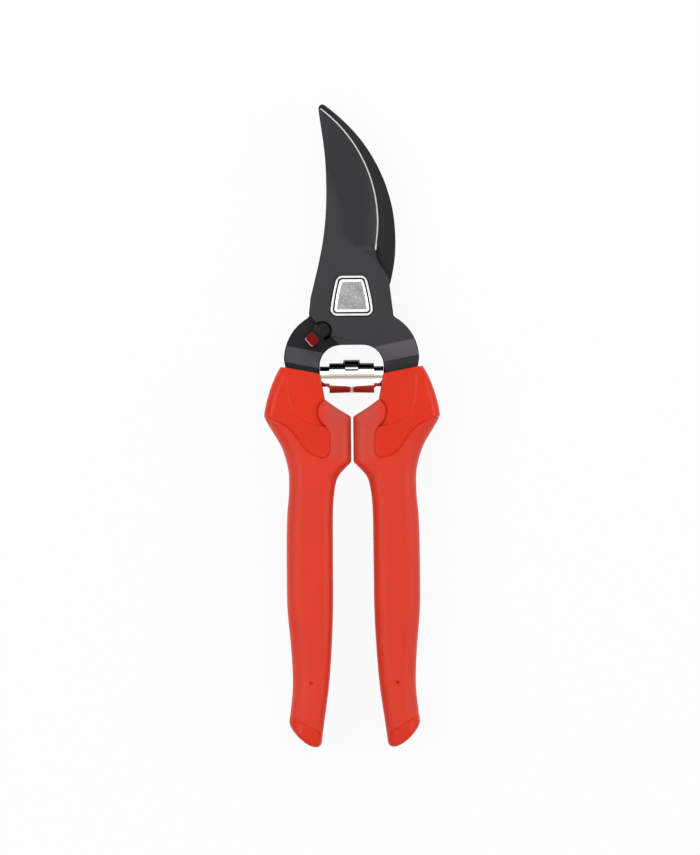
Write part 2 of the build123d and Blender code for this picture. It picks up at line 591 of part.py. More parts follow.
def main():
    """Makes every piece and writes one file for each."""
    nodes = {}
    nodes["cutting_blade"] = make_cutting_blade()
    nodes["hook_blade"] = make_hook_blade()
    nodes["pivot_bolt"] = make_pivot_bolt()
    nodes["pivot_bush"] = make_pivot_bush()
    nodes["pivot_washer"] = make_pivot_washer()
    nodes["pivot_nut"] = make_pivot_nut()
    nodes["badge_carrier"], nodes["badge_rim"], nodes["badge_plate"] = make_badge()
    nodes["lock_lever"] = make_lock_lever()
    nodes["lock_rivet"] = make_lock_rivet()
    nodes["lock_washer"] = make_lock_washer()
    nodes["volute_spring"] = make_volute_spring()
    nodes["left_spring_peg"] = make_spring_peg(-1)
    nodes["right_spring_peg"] = make_spring_peg(1)
    core, grip = make_handle()
    left_core = mirror(core, about=Plane.YZ)
    nodes["left_handle_core"] = left_core - nodes["hook_blade"] - nodes["left_spring_peg"]
    nodes["right_handle_core"] = core - nodes["cutting_blade"] - nodes["right_spring_peg"]
    nodes["left_grip"] = mirror(grip, about=Plane.YZ)
    nodes["right_grip"] = grip
    box = Compound(children=[Compound(shape.solids()) for shape in nodes.values()]).bounding_box()
    middle = box.center()
    place = Pos(-middle.X, -middle.Y, 0)
    os.makedirs("parts", exist_ok=True)
    for name, shape in nodes.items():
        export_step(place * shape, f"parts/{name}.step")
    print("size", box.size, "pivot at", round(-middle.X, 4), round(-middle.Y, 4))
    print("least gap between the spring's turns", round(spring_gap(), 3))


if __name__ == "__main__":
    main()
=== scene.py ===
import json
import math

import bmesh
import bpy
import numpy as np
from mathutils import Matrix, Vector
from mathutils.geometry import delaunay_2d_cdt


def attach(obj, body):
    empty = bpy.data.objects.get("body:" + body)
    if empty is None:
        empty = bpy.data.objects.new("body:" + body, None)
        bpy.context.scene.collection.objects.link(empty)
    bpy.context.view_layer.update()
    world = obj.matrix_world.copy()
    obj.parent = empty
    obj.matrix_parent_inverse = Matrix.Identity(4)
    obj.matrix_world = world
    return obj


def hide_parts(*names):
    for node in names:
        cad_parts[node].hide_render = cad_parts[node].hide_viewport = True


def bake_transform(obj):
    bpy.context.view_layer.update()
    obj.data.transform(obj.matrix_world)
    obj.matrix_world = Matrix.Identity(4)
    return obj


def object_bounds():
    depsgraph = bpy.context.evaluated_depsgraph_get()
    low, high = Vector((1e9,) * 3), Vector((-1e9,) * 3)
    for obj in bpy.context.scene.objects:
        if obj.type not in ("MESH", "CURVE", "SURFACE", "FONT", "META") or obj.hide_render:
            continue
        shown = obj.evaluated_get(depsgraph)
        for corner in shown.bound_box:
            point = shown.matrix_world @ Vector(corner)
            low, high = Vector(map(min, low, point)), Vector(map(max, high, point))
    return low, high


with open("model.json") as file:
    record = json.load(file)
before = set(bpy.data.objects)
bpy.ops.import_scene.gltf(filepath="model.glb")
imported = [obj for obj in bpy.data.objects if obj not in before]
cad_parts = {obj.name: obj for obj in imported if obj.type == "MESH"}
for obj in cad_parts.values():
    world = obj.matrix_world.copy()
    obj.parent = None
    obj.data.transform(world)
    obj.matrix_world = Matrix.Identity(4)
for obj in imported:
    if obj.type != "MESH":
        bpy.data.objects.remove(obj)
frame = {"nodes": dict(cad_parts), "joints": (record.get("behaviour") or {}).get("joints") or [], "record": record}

bl_info = {
    "name": "Pruning Shears",
    "version": (1, 0, 0),
    "blender": (4, 5, 0),
    "location": "3D View > Sidebar > Shears",
    "description": (
        "Dresses the packed pruning shears: coated blades, badge, lock, strip spring and two-part handles"
    ),
    "category": "Object",
}

CAD_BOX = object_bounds()
MM = 0.001
PIVOT_Y = next(joint for joint in frame["joints"] if joint["name"] == "main_pivot")["pos_m"][1] / MM
BODY_OF = {node: body for body, nodes in frame["record"]["behaviour"]["bodies"].items() for node in nodes}

# Handle sizes, in millimetres about the pivot's axis, as (y, inner edge, outer edge) down the right handle
HANDLE_DEPTH = 19.0
HANDLE_MIDDLE = HANDLE_DEPTH / 2
BACK_LAND = 0.3
FLANK_X = 0.375
HANDLE_RUNS = [
    [(-20.0, 10.8, 21.4), (-28.5, 10.2, 26.2), (-35.0, 9.0, 28.4)],
    [(-35.0, 9.0, 28.4), (-38.0, 4.8, 29.1), (-40.7, FLANK_X, 29.5)],
    [(-40.7, FLANK_X, 29.5), (-45.0, FLANK_X, 27.1), (-50.0, FLANK_X, 24.1), (-56.0, FLANK_X, 22.0)],
    [
        (-56.0, FLANK_X, 22.0), (-58.0, 2.4, 21.6), (-60.7, 4.7, 21.3), (-63.5, 5.7, 21.3),
        (-67.0, 6.27, 21.4), (-71.0, 6.6, 21.8), (-76.0, 6.74, 22.11), (-82.0, 6.78, 22.26),
        (-89.0, 6.82, 22.32), (-97.0, 6.85, 22.33), (-106.0, 6.95, 22.15), (-115.0, 7.31, 21.36),
        (-123.0, 7.8, 20.8), (-131.0, 8.5, 20.65), (-138.0, 9.43, 21.28), (-145.5, 10.49, 22.26),
        (-153.0, 11.4, 23.0),
    ],
]
ROUND_KNOTS = [40.7, 45.0]
OUTER_ROUNDS = [4.0, 5.8]
INNER_ROUNDS = [3.0, 4.6]
RIM_OUTER = (23.9, -23.9)
RIM_INNER = (10.7, -26.4)
RIM_ROUND = 0.4
COLLAR_FOOT_Y = -35.0
FLANK_FOOT_Y = -56.0
TAIL_TOP_Y = -131.0
TAIL_CUT = [(8.0, -151.3), (13.4, -151.2), (18.6, -148.0), (24.0, -141.7)]
TAIL_ROUND = 1.8
TAIL_SEAM = [(23.5, -138.6), (17.4, -143.2), (9.0, -147.2)]
SEAM_LOWER = [(29.4, -41.1), (23.8, -43.0), (20.0, -45.7), (16.8, -50.3), (13.1, -53.7), (9.6, -54.7)]
TONGUE_END = [(9.6, -54.7), (7.75, -53.4), (7.4, -51.5)]
SEAM_FLANK = [(7.5, -46.6), (8.3, -45.0), (10.1, -42.7), (11.3, -39.0), (10.5, -36.3), (8.9, -34.85)]
SEAM_START, SEAM_END = (60.0, -41.1), (0.0, -30.85)
TAIL_SEAM_START, TAIL_SEAM_END, TAIL_FAR_Y = (40.0, -130.0), (0.0, -151.0), -200.0
CREASE = [(22.6, -22.0), (22.0, -29.3), (20.8, -37.1), (17.6, -41.7), (12.7, -43.9), (6.0, -44.3)]
FACE_TILT = math.tan(math.radians(5.0))
DIMPLE_PLACE = (14.5, -129.6)
SPRING_Y = -27.55
SOCKET_RADIUS = 4.5
SOCKET_FLOOR_X = 10.75

# Painted reflections on the spring, by the angle about its axis, 0 in front: start and end in degrees, softness,
# colour
SPRING_PAINTED_REFLECTIONS = {
    # A beige band and a thin dark line across the front, a dark band over the top and a reddish band below, all
    # painted reflections
    "beige_reflection_band": (-10.5, 13.0, 4.0, (0.46, 0.43, 0.37, 1)),
    "dark_reflection_line": (-2.3, 3.7, 2.0, (0.17, 0.155, 0.13, 1)),
    "dark_reflection_over_top": (28.5, 120.0, 4.0, (0.012, 0.012, 0.013, 1)),
    "red_reflection_below": (-120.0, -38.0, 4.0, (0.80, 0.52, 0.45, 1)),
}

# The spring's edges and strip: round, angle in degrees of the edges that get it, and rows across
SPRING_EDGE_ROUND = 0.1
SPRING_SHARP_ANGLE = 50.0
STRIP_ROWS = 11

# The spring's tongue: the share of its sweep where it reaches full width, and the angle of its step
TONGUE_FULL_AT = 0.6
TONGUE_STEP = 0.05

# Least depth of the step along the crease, and how much of a seam's depth is left on a side and on the tail
CREASE_SINK = 0.2
SEAM_ON_SIDES = 0.3
SEAM_ON_TAIL = 0.7

# Lines cut into the handle's skin: shares of the crease's and the seams' widths, and radii of the dimple
CREASE_LEVELS = (0.0, 0.33, 0.67, 1.0)
SEAM_LEVELS = (-1.0, -0.6, -0.3, 0.3, 0.6, 1.0, 0.0)
DIMPLE_RADII = (0.75, 0.5)

# Depth, floor and wall of the dimple, wall of the socket, start of the front, and depth of the cut rims
DIMPLE_DEPTH, DIMPLE_FLOOR, DIMPLE_WALL = 0.9, 0.3, 0.45
SOCKET_WALL = 0.06
FRONT_FROM, FRONT_SOFTNESS = 2.0, 2.0
LIP_DEPTH = 1.2

# A distance beyond every cut, and the least distance from one
ELSEWHERE = 50.0
NEAR_NOTHING = 1e-5

# Fineness: points along the lines of blade and handle, steps of the handle's edges and sections, rows down it
GRIND_POINTS, SEAM_POINTS, TONGUE_POINTS, FLANK_POINTS = 120, 60, 16, 40
CREASE_POINTS, TAIL_SEAM_POINTS, TAIL_CUT_POINTS = 80, 30, 80
PROFILE_STEP, PROFILE_BLUR, PROFILE_REACH = 0.05, 0.3, 24
SIDE_POINTS, ARC_POINTS, FLAT_POINTS = 8, 14, 26
LEAST_ROUND = 0.3
RIM_ROWS, COLLAR_ROWS, GRIP_ROWS, TAIL_ROWS, TAIL_END_ROWS = 5, 24, 96, 30, 9
FLANK_ROW_STEP, FLANK_ROWS_PAST, GRIP_ROWS_FROM = 0.35, 3.0, 3.2
EDGE_GUESS, EDGE_ROUNDS = (10.0, 22.0), 6
SKIN_SHARP_ANGLE = 48.0

# Upright share of a normal below which a handle's side is painted a duller red, as painted shade
STEEP_FROM = 0.45

# How far from the middle the flanks' painted sheen, a duller pinkish red, reaches, over what width it fades, and
# its share by height
FLANK_TINT_X = 10.0
FLANK_TINT_SOFTNESS = 3.0
FLANK_TINT_SHARE = ([-48.0, -43.0, -38.0], [0.55, 0.6, 1.0])

# The blade's front: its levels, the line where grinding starts, and the circle that the edge follows
BLADE_BOTTOM = 9.55
BLADE_TOP = 13.05
GRIND_LINE = [
    (-12.0, 46.0), (-8.4, 38.8), (-4.9, 29.0), (-4.0, 20.5), (1.4, 15.4), (4.8, 12.9), (7.6, 10.9),
    (10.0, 8.0), (12.4, 4.5),
]
GRIND_STEP = 0.6
GRIND_SOFTNESS = ([-6.0, 1.0, 8.0], [3.4, 1.6, 1.2])
HOLLOW_WIDTH = 10.0
EDGE_THICK = 0.7
BEVEL_WIDTH = 0.6
BLADE_TIP = (-9.6, 63.15)
EDGE_BELLY = (9.55, 26.0)
EDGE_HEEL = (8.5, 14.7)
PLUNGE_Y = 14.9
PLUNGE_SOFTNESS = 2.5
FRONT_STEP = 0.7

# The line past the badge above which the blade's front is a fine net: a place on it, and its square direction
NET_SPOT = (5.6, 8.0)
NET_LEAN = (0.57, 1.0, 0.0)

# Folds of the two tangs, where a highlight and a shade are painted: lean of the fold lines, and where along the
# tang each fold starts and ends
FOLD_LEAN = math.radians(11.0)
BLADE_FOLD = (18.6, 24.0)
HOOK_FOLD = (20.7, 26.1)

# Lock lever: its hub, which way it points, how far along it the red starts, and where the painted highlight on its
# end starts
LOCK_CENTRE = (-9.7, -11.9)
LOCK_ANGLE = math.radians(220.0)
LOCK_RED_FROM = 2.9
LOCK_HIGHLIGHT_FROM = 5.75

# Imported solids: distance under which vertices are one, and the angles, in degrees, of flat and of sharp edges
MERGE_WITHIN = 2e-6
FLAT_ANGLE = 0.5
SHARP_ANGLE, BLADE_SHARP_ANGLE, BADGE_SHARP_ANGLE, RIVET_SHARP_ANGLE = 32.0, 65.0, 15.0, 25.0
HOOK_ROUND_SHARE = 1.4
CUT_WITHIN = 1e-7

# Faces by their normals: the blade's sole, its bare bevel and the badge's level top; and reaches in millimetres
SOLE_NORMAL, BARE_NORMAL, LEVEL_NORMAL = -0.9, 0.1, 0.999
POST_REACH, TOP_REACH = 0.1, 0.02
BEVEL_ROW_ROOM = 0.8

# Lamps: place, size and power; and the camera's lens, place across the part in millimetres, and turn in degrees
LAMPS = {
    "left": ((-0.70, 0.05, 0.72), 0.60, 3.2),
    "right": ((0.85, 0.05, 0.45), 0.60, 2.8),
    "head": ((0.0, 0.83, 0.56), 0.85, 3.6),
    "foot": ((0.0, -0.60, 0.80), 1.10, 2.7),
    "overhead": ((0.0, 0.25, 1.20), 0.90, 0.80),
}
LENS, SENSOR_WIDTH = 150.0, 36.0
CAMERA_PLACE = (-0.72, -0.89)
CAMERA_TURN = -0.5
FLOOR_REACH, FLOOR_LEVEL = 3.0, -0.2
FLOOR_GLOW_SHARE = 0.93
WORLD_LIGHT = 0.25

# Colours that aren't in the sidebar: plain metals and blacks, reds for a painted highlight, a painted sheen and
# painted shade, the bare edge, and what shows through wear
WHITE = (1, 1, 1, 1)
ZINC, BRONZE, WASHER_STEEL = (0.58, 0.58, 0.57, 1), (0.55, 0.36, 0.16, 1), (0.6, 0.6, 0.6, 1)
SEAT_BLACK, RIVET_BLACK = (0.008, 0.008, 0.009, 1), (0.006, 0.006, 0.007, 1)
# A painted highlight on the lock's tip, a painted sheen on the grips' flanks, painted shade on the handles' steep
# sides
LOCK_HIGHLIGHT_PINK, FLANK_SHEEN_RED, STEEP_SHADE_RED = (0.72, 0.40, 0.40, 1), (0.58, 0.068, 0.043, 1), (0.56, 0.045, 0.024, 1)
EDGE_STEEL, EDGE_MARKS = (0.90, 0.89, 0.87, 1), (0.74, 0.73, 0.71, 1)
WORN_COAT, WORN_HOOK, WORN_BLACK = (0.16, 0.16, 0.165, 1), (0.10, 0.10, 0.105, 1), (0.09, 0.09, 0.095, 1)

# Kinds of socket
FLOAT, COLOUR, VECTOR = "NodeSocketFloat", "NodeSocketColor", "NodeSocketVector"


class ShearsSizes(bpy.types.PropertyGroup):
    """Sizes that a user would change"""

    seam_depth: bpy.props.FloatProperty(
        name="Seam depth", description="Depth of the groove between collar and grip",
        default=0.45 * MM, unit="LENGTH", precision=5)
    seam_half_width: bpy.props.FloatProperty(
        name="Seam half width", description="Distance from the seam's middle to where the groove starts",
        default=0.55 * MM, unit="LENGTH", precision=5)
    crease_softness: bpy.props.FloatProperty(
        name="Crease softness", description="Width over which the collar's face steps down from its facet",
        default=0.8 * MM, unit="LENGTH", precision=5)
    plate_edge_round: bpy.props.FloatProperty(
        name="Plate edge round", description="Round on the edges of the blade and the hook",
        default=0.30 * MM, unit="LENGTH", precision=5)
    small_edge_round: bpy.props.FloatProperty(
        name="Small edge round", description="Round on the edges of the small metal pieces",
        default=0.14 * MM, unit="LENGTH", precision=5)
    bezel_round: bpy.props.FloatProperty(
        name="Bezel round", description="Round on the bright rim of the badge",
        default=0.22 * MM, unit="LENGTH", precision=5)
    spring_strip: bpy.props.FloatProperty(
        name="Spring strip", description="Thickness of the spring's strip",
        default=0.6 * MM, unit="LENGTH", precision=5)
    spring_radius: bpy.props.FloatProperty(
        name="Spring radius", description="Radius of the spring's outermost turn",
        default=6.1 * MM, unit="LENGTH", precision=5)
    spring_pitch: bpy.props.FloatProperty(
        name="Spring pitch", description="How far each turn of the spring lies inside the one before",
        default=1.1 * MM, unit="LENGTH", precision=5)
    camera_distance: bpy.props.FloatProperty(
        name="Camera height", description="Height of the camera above the middle of the handles",
        default=1.197, unit="LENGTH")


class ShearsColours(bpy.types.PropertyGroup):
    """Colours that a user would change"""

    coat: bpy.props.FloatVectorProperty(
        name="Blade coat", description="Non-stick coat on the blade", subtype="COLOR", size=4,
        default=(0.026, 0.0255, 0.029, 1))
    ground_coat: bpy.props.FloatVectorProperty(
        name="Ground face", description="Coat on the blade's ground face", subtype="COLOR", size=4,
        default=(0.0150, 0.0145, 0.0185, 1))
    hook: bpy.props.FloatVectorProperty(
        name="Hook", description="Rough black finish of the hook", subtype="COLOR", size=4,
        default=(0.0075, 0.0075, 0.0085, 1))
    hard_red: bpy.props.FloatVectorProperty(
        name="Hard red", description="Collars and tail tips", subtype="COLOR", size=4,
        default=(0.77, 0.032, 0.008, 1))
    soft_red: bpy.props.FloatVectorProperty(
        name="Soft red", description="Soft grips", subtype="COLOR", size=4,
        default=(0.75, 0.037, 0.011, 1))
    lock_red: bpy.props.FloatVectorProperty(
        name="Lock red", description="Lock lever", subtype="COLOR", size=4,
        default=(0.22, 0.002, 0.003, 1))
    bright: bpy.props.FloatVectorProperty(
        name="Bright plate", description="Plated badge and spring", subtype="COLOR", size=4,
        default=(0.86, 0.86, 0.86, 1))
    floor: bpy.props.FloatVectorProperty(
        name="Floor", description="Plain pale floor", subtype="COLOR", size=4,
        default=(0.92, 0.92, 0.92, 1))


class Wiring:
    """Adds nodes to one tree and joins them."""

    def __init__(self, tree):
        self.tree = tree

    def add(self, kind, inputs=None, **settings):
        node = self.tree.nodes.new(kind)
        for name, value in settings.items():
            setattr(node, name, value)
        for name, value in (inputs or {}).items():
            self.put(node.inputs[name], value)
        return node

    def put(self, socket, value):
        if isinstance(value, bpy.types.NodeSocket):
            self.tree.links.new(value, socket)
        else:
            socket.default_value = value

    def math(self, operation, first, second=0.0, clamp=False):
        node = self.add("ShaderNodeMath", {0: first, 1: second}, operation=operation, use_clamp=clamp)
        return node.outputs[0]

    def ramp(self, value, low, high, start=0.0, end=1.0, kind="LINEAR"):
        """Maps a value from one range to another, held at the ends."""
        inputs = {"Value": value, "From Min": low, "From Max": high, "To Min": start, "To Max": end}
        return self.add("ShaderNodeMapRange", inputs, interpolation_type=kind).outputs[0]

    def spread(self, *values):
        """A ramp with soft ends."""
        return self.ramp(*values, kind="SMOOTHSTEP")

    def mix(self, share, first, second):
        node = self.add("ShaderNodeMix", {0: share, 6: first, 7: second}, data_type="RGBA")
        return node.outputs[2]

    def noise(self, vector, scale, detail=2.0, roughness=0.5):
        inputs = {"Vector": vector, "Scale": scale, "Detail": detail, "Roughness": roughness}
        return self.add("ShaderNodeTexNoise", inputs).outputs[0]

    def stretched(self, vector, scale):
        return self.add("ShaderNodeMapping", {"Vector": vector, "Scale": scale}).outputs[0]


def add_sockets(tree, inputs, outputs):
    """Gives a node tree its named inputs, with their defaults, and its outputs."""
    for label, kind, default in inputs:
        socket = tree.interface.new_socket(name=label, in_out="INPUT", socket_type=kind)
        if default is not None:
            socket.default_value = default
    for label, kind in outputs:
        tree.interface.new_socket(name=label, in_out="OUTPUT", socket_type=kind)


def effect_group(name, inputs, outputs, build):
    """A shader node group with named sockets, made once."""
    if name in bpy.data.node_groups:
        return bpy.data.node_groups[name]
    tree = bpy.data.node_groups.new(name, "ShaderNodeTree")
    add_sockets(tree, [("Vector", VECTOR, None), *inputs], outputs)
    wiring = Wiring(tree)
    given = wiring.add("NodeGroupInput")
    made = wiring.add("NodeGroupOutput")
    for label, value in build(wiring, given.outputs).items():
        wiring.put(made.inputs[label], value)
    return tree


def tone_drift():
    """Slow change of tone and gloss over a surface, as handling and moulding leave it."""
    def build(wiring, given):
        slow = wiring.noise(given["Vector"], given["Scale"], 4.0, 0.6)
        share = wiring.spread(slow, 0.36, 0.66)
        smear = wiring.noise(wiring.stretched(given["Vector"], (1.0, 0.35, 1.0)), given["Scale"], 6.0, 0.65)
        rough = wiring.ramp(smear, 0.3, 0.7, given["Least Roughness"], given["Most Roughness"])
        return {"Color": wiring.mix(share, given["Tone"], given["Drift"]), "Roughness": rough}

    inputs = [("Scale", FLOAT, 60.0), ("Tone", COLOUR, None), ("Drift", COLOUR, None),
              ("Least Roughness", FLOAT, 0.3), ("Most Roughness", FLOAT, 0.4)]
    return effect_group("Tone Drift", inputs, [("Color", COLOUR), ("Roughness", FLOAT)], build)


def fine_grain():
    """Height of a fine moulded or blasted grain, and a mask of its brighter flecks."""
    def build(wiring, given):
        fine = wiring.noise(given["Vector"], given["Scale"], 3.0, 0.6)
        coarse = wiring.noise(given["Vector"], wiring.math("MULTIPLY", given["Scale"], 0.3), 2.0)
        height = wiring.math("ADD", fine, wiring.math("MULTIPLY", coarse, given["Coarse Share"]))
        return {"Height": height, "Fleck": wiring.spread(fine, 0.56, 0.72)}

    inputs = [("Scale", FLOAT, 1500.0), ("Coarse Share", FLOAT, 0.4)]
    return effect_group("Fine Grain", inputs, [("Height", FLOAT), ("Fleck", FLOAT)], build)


def edge_wear():
    """Mask of the spots where a finish is rubbed off along an edge."""
    def build(wiring, given):
        patch = wiring.noise(given["Vector"], 420.0, 5.0, 0.65)
        start = wiring.math("SUBTRACT", 0.72, wiring.math("MULTIPLY", given["Amount"], 0.4))
        wear_and_highlight = wiring.ramp(patch, start, wiring.math("ADD", start, 0.16))
        return {"Mask": wiring.math("MULTIPLY", wear_and_highlight, given["Edge"], clamp=True)}

    inputs = [("Edge", FLOAT, 0.0), ("Amount", FLOAT, 0.5)]
    return effect_group("Edge Wear", inputs, [("Mask", FLOAT)], build)


class Finish:
    """A material with one Principled shader, and the shared effects ready to place."""

    def __init__(self, name, **sockets):
        self.material = bpy.data.materials.new(name)
        self.material.use_nodes = True
        self.wiring = Wiring(self.material.node_tree)
        self.mix = self.wiring.mix
        self.shader = self.material.node_tree.nodes["Principled BSDF"]
        self.place = self.wiring.add("ShaderNodeTexCoord").outputs["Object"]
        for label, value in sockets.items():
            self.set(label.replace("_", " "), value)

    def effect(self, group, **inputs):
        """Places a shared effect with its own values, and gives its outputs."""
        node = self.wiring.add("ShaderNodeGroup", node_tree=group)
        self.wiring.put(node.inputs["Vector"], self.place)
        for label, value in inputs.items():
            self.wiring.put(node.inputs[label.replace("_", " ")], value)
        return node.outputs

    def drift(self, scale, tone, share, least, most):
        """Tone that drifts to a share of itself, with a roughness between two limits."""
        return self.effect(tone_drift(), Scale=scale, Tone=tone, Drift=shade(tone, share),
                           Least_Roughness=least, Most_Roughness=most)

    def grain(self, scale, coarse_share=0.5):
        """The shared grain, with its height and its flecks."""
        return self.effect(fine_grain(), Scale=scale, Coarse_Share=coarse_share)

    def wear(self, amount):
        """The shared mask of rubbed spots along the rounded edges."""
        return self.effect(edge_wear(), Edge=self.attribute("edge"), Amount=amount)["Mask"]

    def lines(self, stretch, detail):
        """Noise drawn out into fine lines."""
        return self.wiring.noise(self.wiring.stretched(self.place, stretch), 1.0, detail)

    def marked(self, colour, marks):
        """A colour with another laid over it wherever a mark is set."""
        for name, other in marks.items():
            colour = self.mix(self.attribute(name), colour, other)
        return colour

    def set(self, label, value):
        self.wiring.put(self.shader.inputs[label], value)

    def attribute(self, name):
        return self.wiring.add("ShaderNodeAttribute", attribute_name=name).outputs["Fac"]

    def done(self, colour, roughness, height, strength, distance):
        """Joins colour, roughness and bump to the shader, and gives the material."""
        inputs = {"Height": height, "Strength": strength, "Distance": distance}
        self.set("Base Color", colour)
        self.set("Roughness", roughness)
        self.set("Normal", self.wiring.add("ShaderNodeBump", inputs).outputs[0])
        return self.material


def shade(colour, factor):
    """A colour made darker or lighter."""
    return (colour[0] * factor, colour[1] * factor, colour[2] * factor, 1.0)


def coated_blade_finish(colours):
    """Satin non-stick coat, darker on the ground face, with a painted highlight on the sloping bend of its shank,
    and painted shade on the flat below that bend and on the rounded edges.
    """
    finish = Finish("coated_blade_steel", Specular_IOR_Level=0.28)
    reckon = finish.wiring.math
    body = finish.drift(45.0, colours.coat, 0.88, 0.40, 0.50)
    ground = finish.drift(60.0, colours.ground_coat, 0.9, 0.34, 0.42)
    on_ground, wear = finish.attribute("ground"), finish.wear(0.12)
    # Painted light: the sloping fold is painted lighter as a highlight, the tang's flat below it and the rounded
    # edges painted darker as shade
    colour = finish.marked(finish.mix(on_ground, body["Color"], ground["Color"]), {
        "fold_highlight": shade(colours.coat, 3.5), "tang_shade": shade(colours.coat, 0.55), "edge": shade(colours.coat, 0.12)})
    colour = finish.mix(wear, colour, WORN_COAT)
    finish.set("Metallic", reckon("MULTIPLY", wear, 0.6))
    rough = reckon("SUBTRACT", body["Roughness"], reckon("MULTIPLY", on_ground, 0.06))
    return finish.done(colour, rough, finish.grain(2600.0, 0.6)["Height"], 0.22, 0.00004)


def bare_edge_finish():
    """The honed cutting edge, bare steel with fine marks across it."""
    finish = Finish("bare_edge_steel", Metallic=0.15)
    marks, spread = finish.lines((400.0, 4200.0, 400.0), 4.0), finish.wiring.spread
    colour = finish.mix(spread(marks, 0.35, 0.65), EDGE_STEEL, EDGE_MARKS)
    return finish.done(colour, spread(marks, 0.3, 0.7, 0.30, 0.46), marks, 0.2, 0.00003)


def hook_finish(colours):
    """Rough black finish with a fine pebbled grain; painted shade makes it blackest round the hub and on its
    rounded edges and darker on its shank's flat, and a painted highlight lightens the sloping bend.
    """
    finish = Finish("black_hook_steel", Specular_IOR_Level=0.2)
    body = finish.drift(70.0, colours.hook, 1.25, 0.42, 0.56)
    grain = finish.grain(1900.0, 0.8)
    along = finish.wiring.add("ShaderNodeSeparateXYZ", {0: finish.place}).outputs[1]
    # Painted shade: the hook is painted near black round the hub, where the blade plate above would shade it
    jaw_clear_of_shade = finish.wiring.spread(along, (PIVOT_Y - 6.0) * MM, (PIVOT_Y + 4.0) * MM)
    colour = finish.mix(grain["Fleck"], body["Color"], shade(colours.hook, 1.9))
    # Painted light on the tang: the fold painted lighter as a highlight, the flat below and the rounded edges
    # painted darker as shade
    colour = finish.marked(finish.mix(jaw_clear_of_shade, shade(colours.hook, 0.12), colour), {
        "fold_highlight": shade(colours.hook, 7.8), "tang_shade": shade(colours.hook, 0.2), "edge": shade(colours.hook, 0.1)})
    colour = finish.mix(finish.wear(0.1), colour, WORN_HOOK)
    return finish.done(colour, body["Roughness"], grain["Height"], 0.55, 0.00009)


def plated_finish(name, colour, least, most, grain_scale, grain_strength):
    """Bright plated metal with faint smears, and a fine grain where it is satin."""
    finish = Finish(name, Metallic=1.0)
    body = finish.drift(180.0, colour, 0.92, least, most)
    grain = finish.grain(grain_scale)
    flecked = finish.mix(grain["Fleck"], body["Color"], shade(colour, 0.86))
    return finish.done(flecked, body["Roughness"], grain["Height"], grain_strength, 0.00005)


def satin_badge_finish(colours):
    """The badge's sandblasted middle."""
    finish = Finish("satin_badge", Metallic=1.0)
    grain = finish.grain(1500.0)
    body = finish.drift(300.0, shade(colours.bright, 0.34), 0.26 / 0.34, 0.30, 0.46)
    colour = finish.mix(grain["Fleck"], body["Color"], shade(colours.bright, 0.75))
    return finish.done(colour, body["Roughness"], grain["Height"], 0.8, 0.00008)


def spring_finish(colours):
    """Bright rolled strip with fine lines along it, and painted reflections: a beige band with a dark line across
    its front, dark over the top of its coil and reddish below.
    """
    finish = Finish("spring_steel", Metallic=1.0)
    lines = finish.lines((5200.0, 300.0, 300.0), 3.0)
    body = finish.drift(220.0, shade(colours.bright, 0.9), 0.8 / 0.9, 0.08, 0.17)
    colour = finish.mix(finish.wiring.spread(lines, 0.5, 0.75), body["Color"], shade(colours.bright, 0.94))
    # Painted reflections laid over the steel by the angle about the coil's axis
    colour = finish.marked(colour, {name: tint for name, (_, _, _, tint) in SPRING_PAINTED_REFLECTIONS.items()})
    return finish.done(colour, body["Roughness"], lines, 0.03, 0.00002)


def dark_finish(name, tone, least, most):
    """Black plastic or blackened steel with a fine grain and lighter edges."""
    finish = Finish(name, Specular_IOR_Level=0.15)
    body = finish.drift(160.0, tone, 1.5, least, most)
    colour = finish.mix(finish.wear(0.3), body["Color"], WORN_BLACK)
    return finish.done(colour, body["Roughness"], finish.grain(2200.0)["Height"], 0.3, 0.00005)


def red_finish(name, tone, least, most, drift, grain_scale, grain_strength, **sockets):
    """Moulded red plastic: slow change of tone, a painted sheen of duller pinkish red on the grip's middle and
    painted shade on its sides, and a grain as fine as the mould's.
    """
    finish = Finish(name, **sockets)
    body = finish.drift(38.0, tone, drift, least, most)
    grain = finish.grain(grain_scale)
    colour = finish.mix(grain["Fleck"], body["Color"], shade(tone, 0.94))
    # Painted sheen on the flanks and painted shade on the steep sides
    colour = finish.marked(colour, {"flank_sheen": FLANK_SHEEN_RED, "steep_shade": STEEP_SHADE_RED})
    return finish.done(colour, body["Roughness"], grain["Height"], grain_strength, 0.00005)


def in_frame(points):
    """Points in millimetres about the pivot's axis, as metres in the part's frame."""
    return (np.asarray(points, float) + (0.0, PIVOT_Y, 0.0)) * MM


def new_piece(name, mesh, *materials):
    """An object of the mesh, in the scene, with its materials."""
    piece = bpy.data.objects.new(name, mesh)
    bpy.context.scene.collection.objects.link(piece)
    for material in materials:
        mesh.materials.append(material)
    return piece


def settle(piece):
    """Turns what the modifiers make into the piece's own plain mesh."""
    evaluated = piece.evaluated_get(bpy.context.evaluated_depsgraph_get())
    mesh = bpy.data.meshes.new_from_object(evaluated)
    piece.modifiers.clear()
    piece.data = mesh


def round_edges(piece, width, segments, sharp_angle, material=-1):
    """Rounds the edges that are sharper than an angle, and settles the piece."""
    rounding = piece.modifiers.new("Rounded edges", "BEVEL")
    rounding.width = width
    rounding.segments = segments
    rounding.limit_method = "ANGLE"
    rounding.angle_limit = math.radians(sharp_angle)
    rounding.use_clamp_overlap = False
    rounding.harden_normals = True
    rounding.material = material
    settle(piece)


def mark(mesh, name, values, domain="POINT"):
    """Stores a value on each vertex or face for the finish to read."""
    mesh.attributes.new(name, "FLOAT", domain).data.foreach_set("value", np.asarray(values, np.float32))


def stand_for(piece, node, rides=True):
    """The piece takes the node's place, and its body if it rides: the node is hidden."""
    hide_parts(node)
    if rides:
        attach(piece, BODY_OF[node])
    return piece


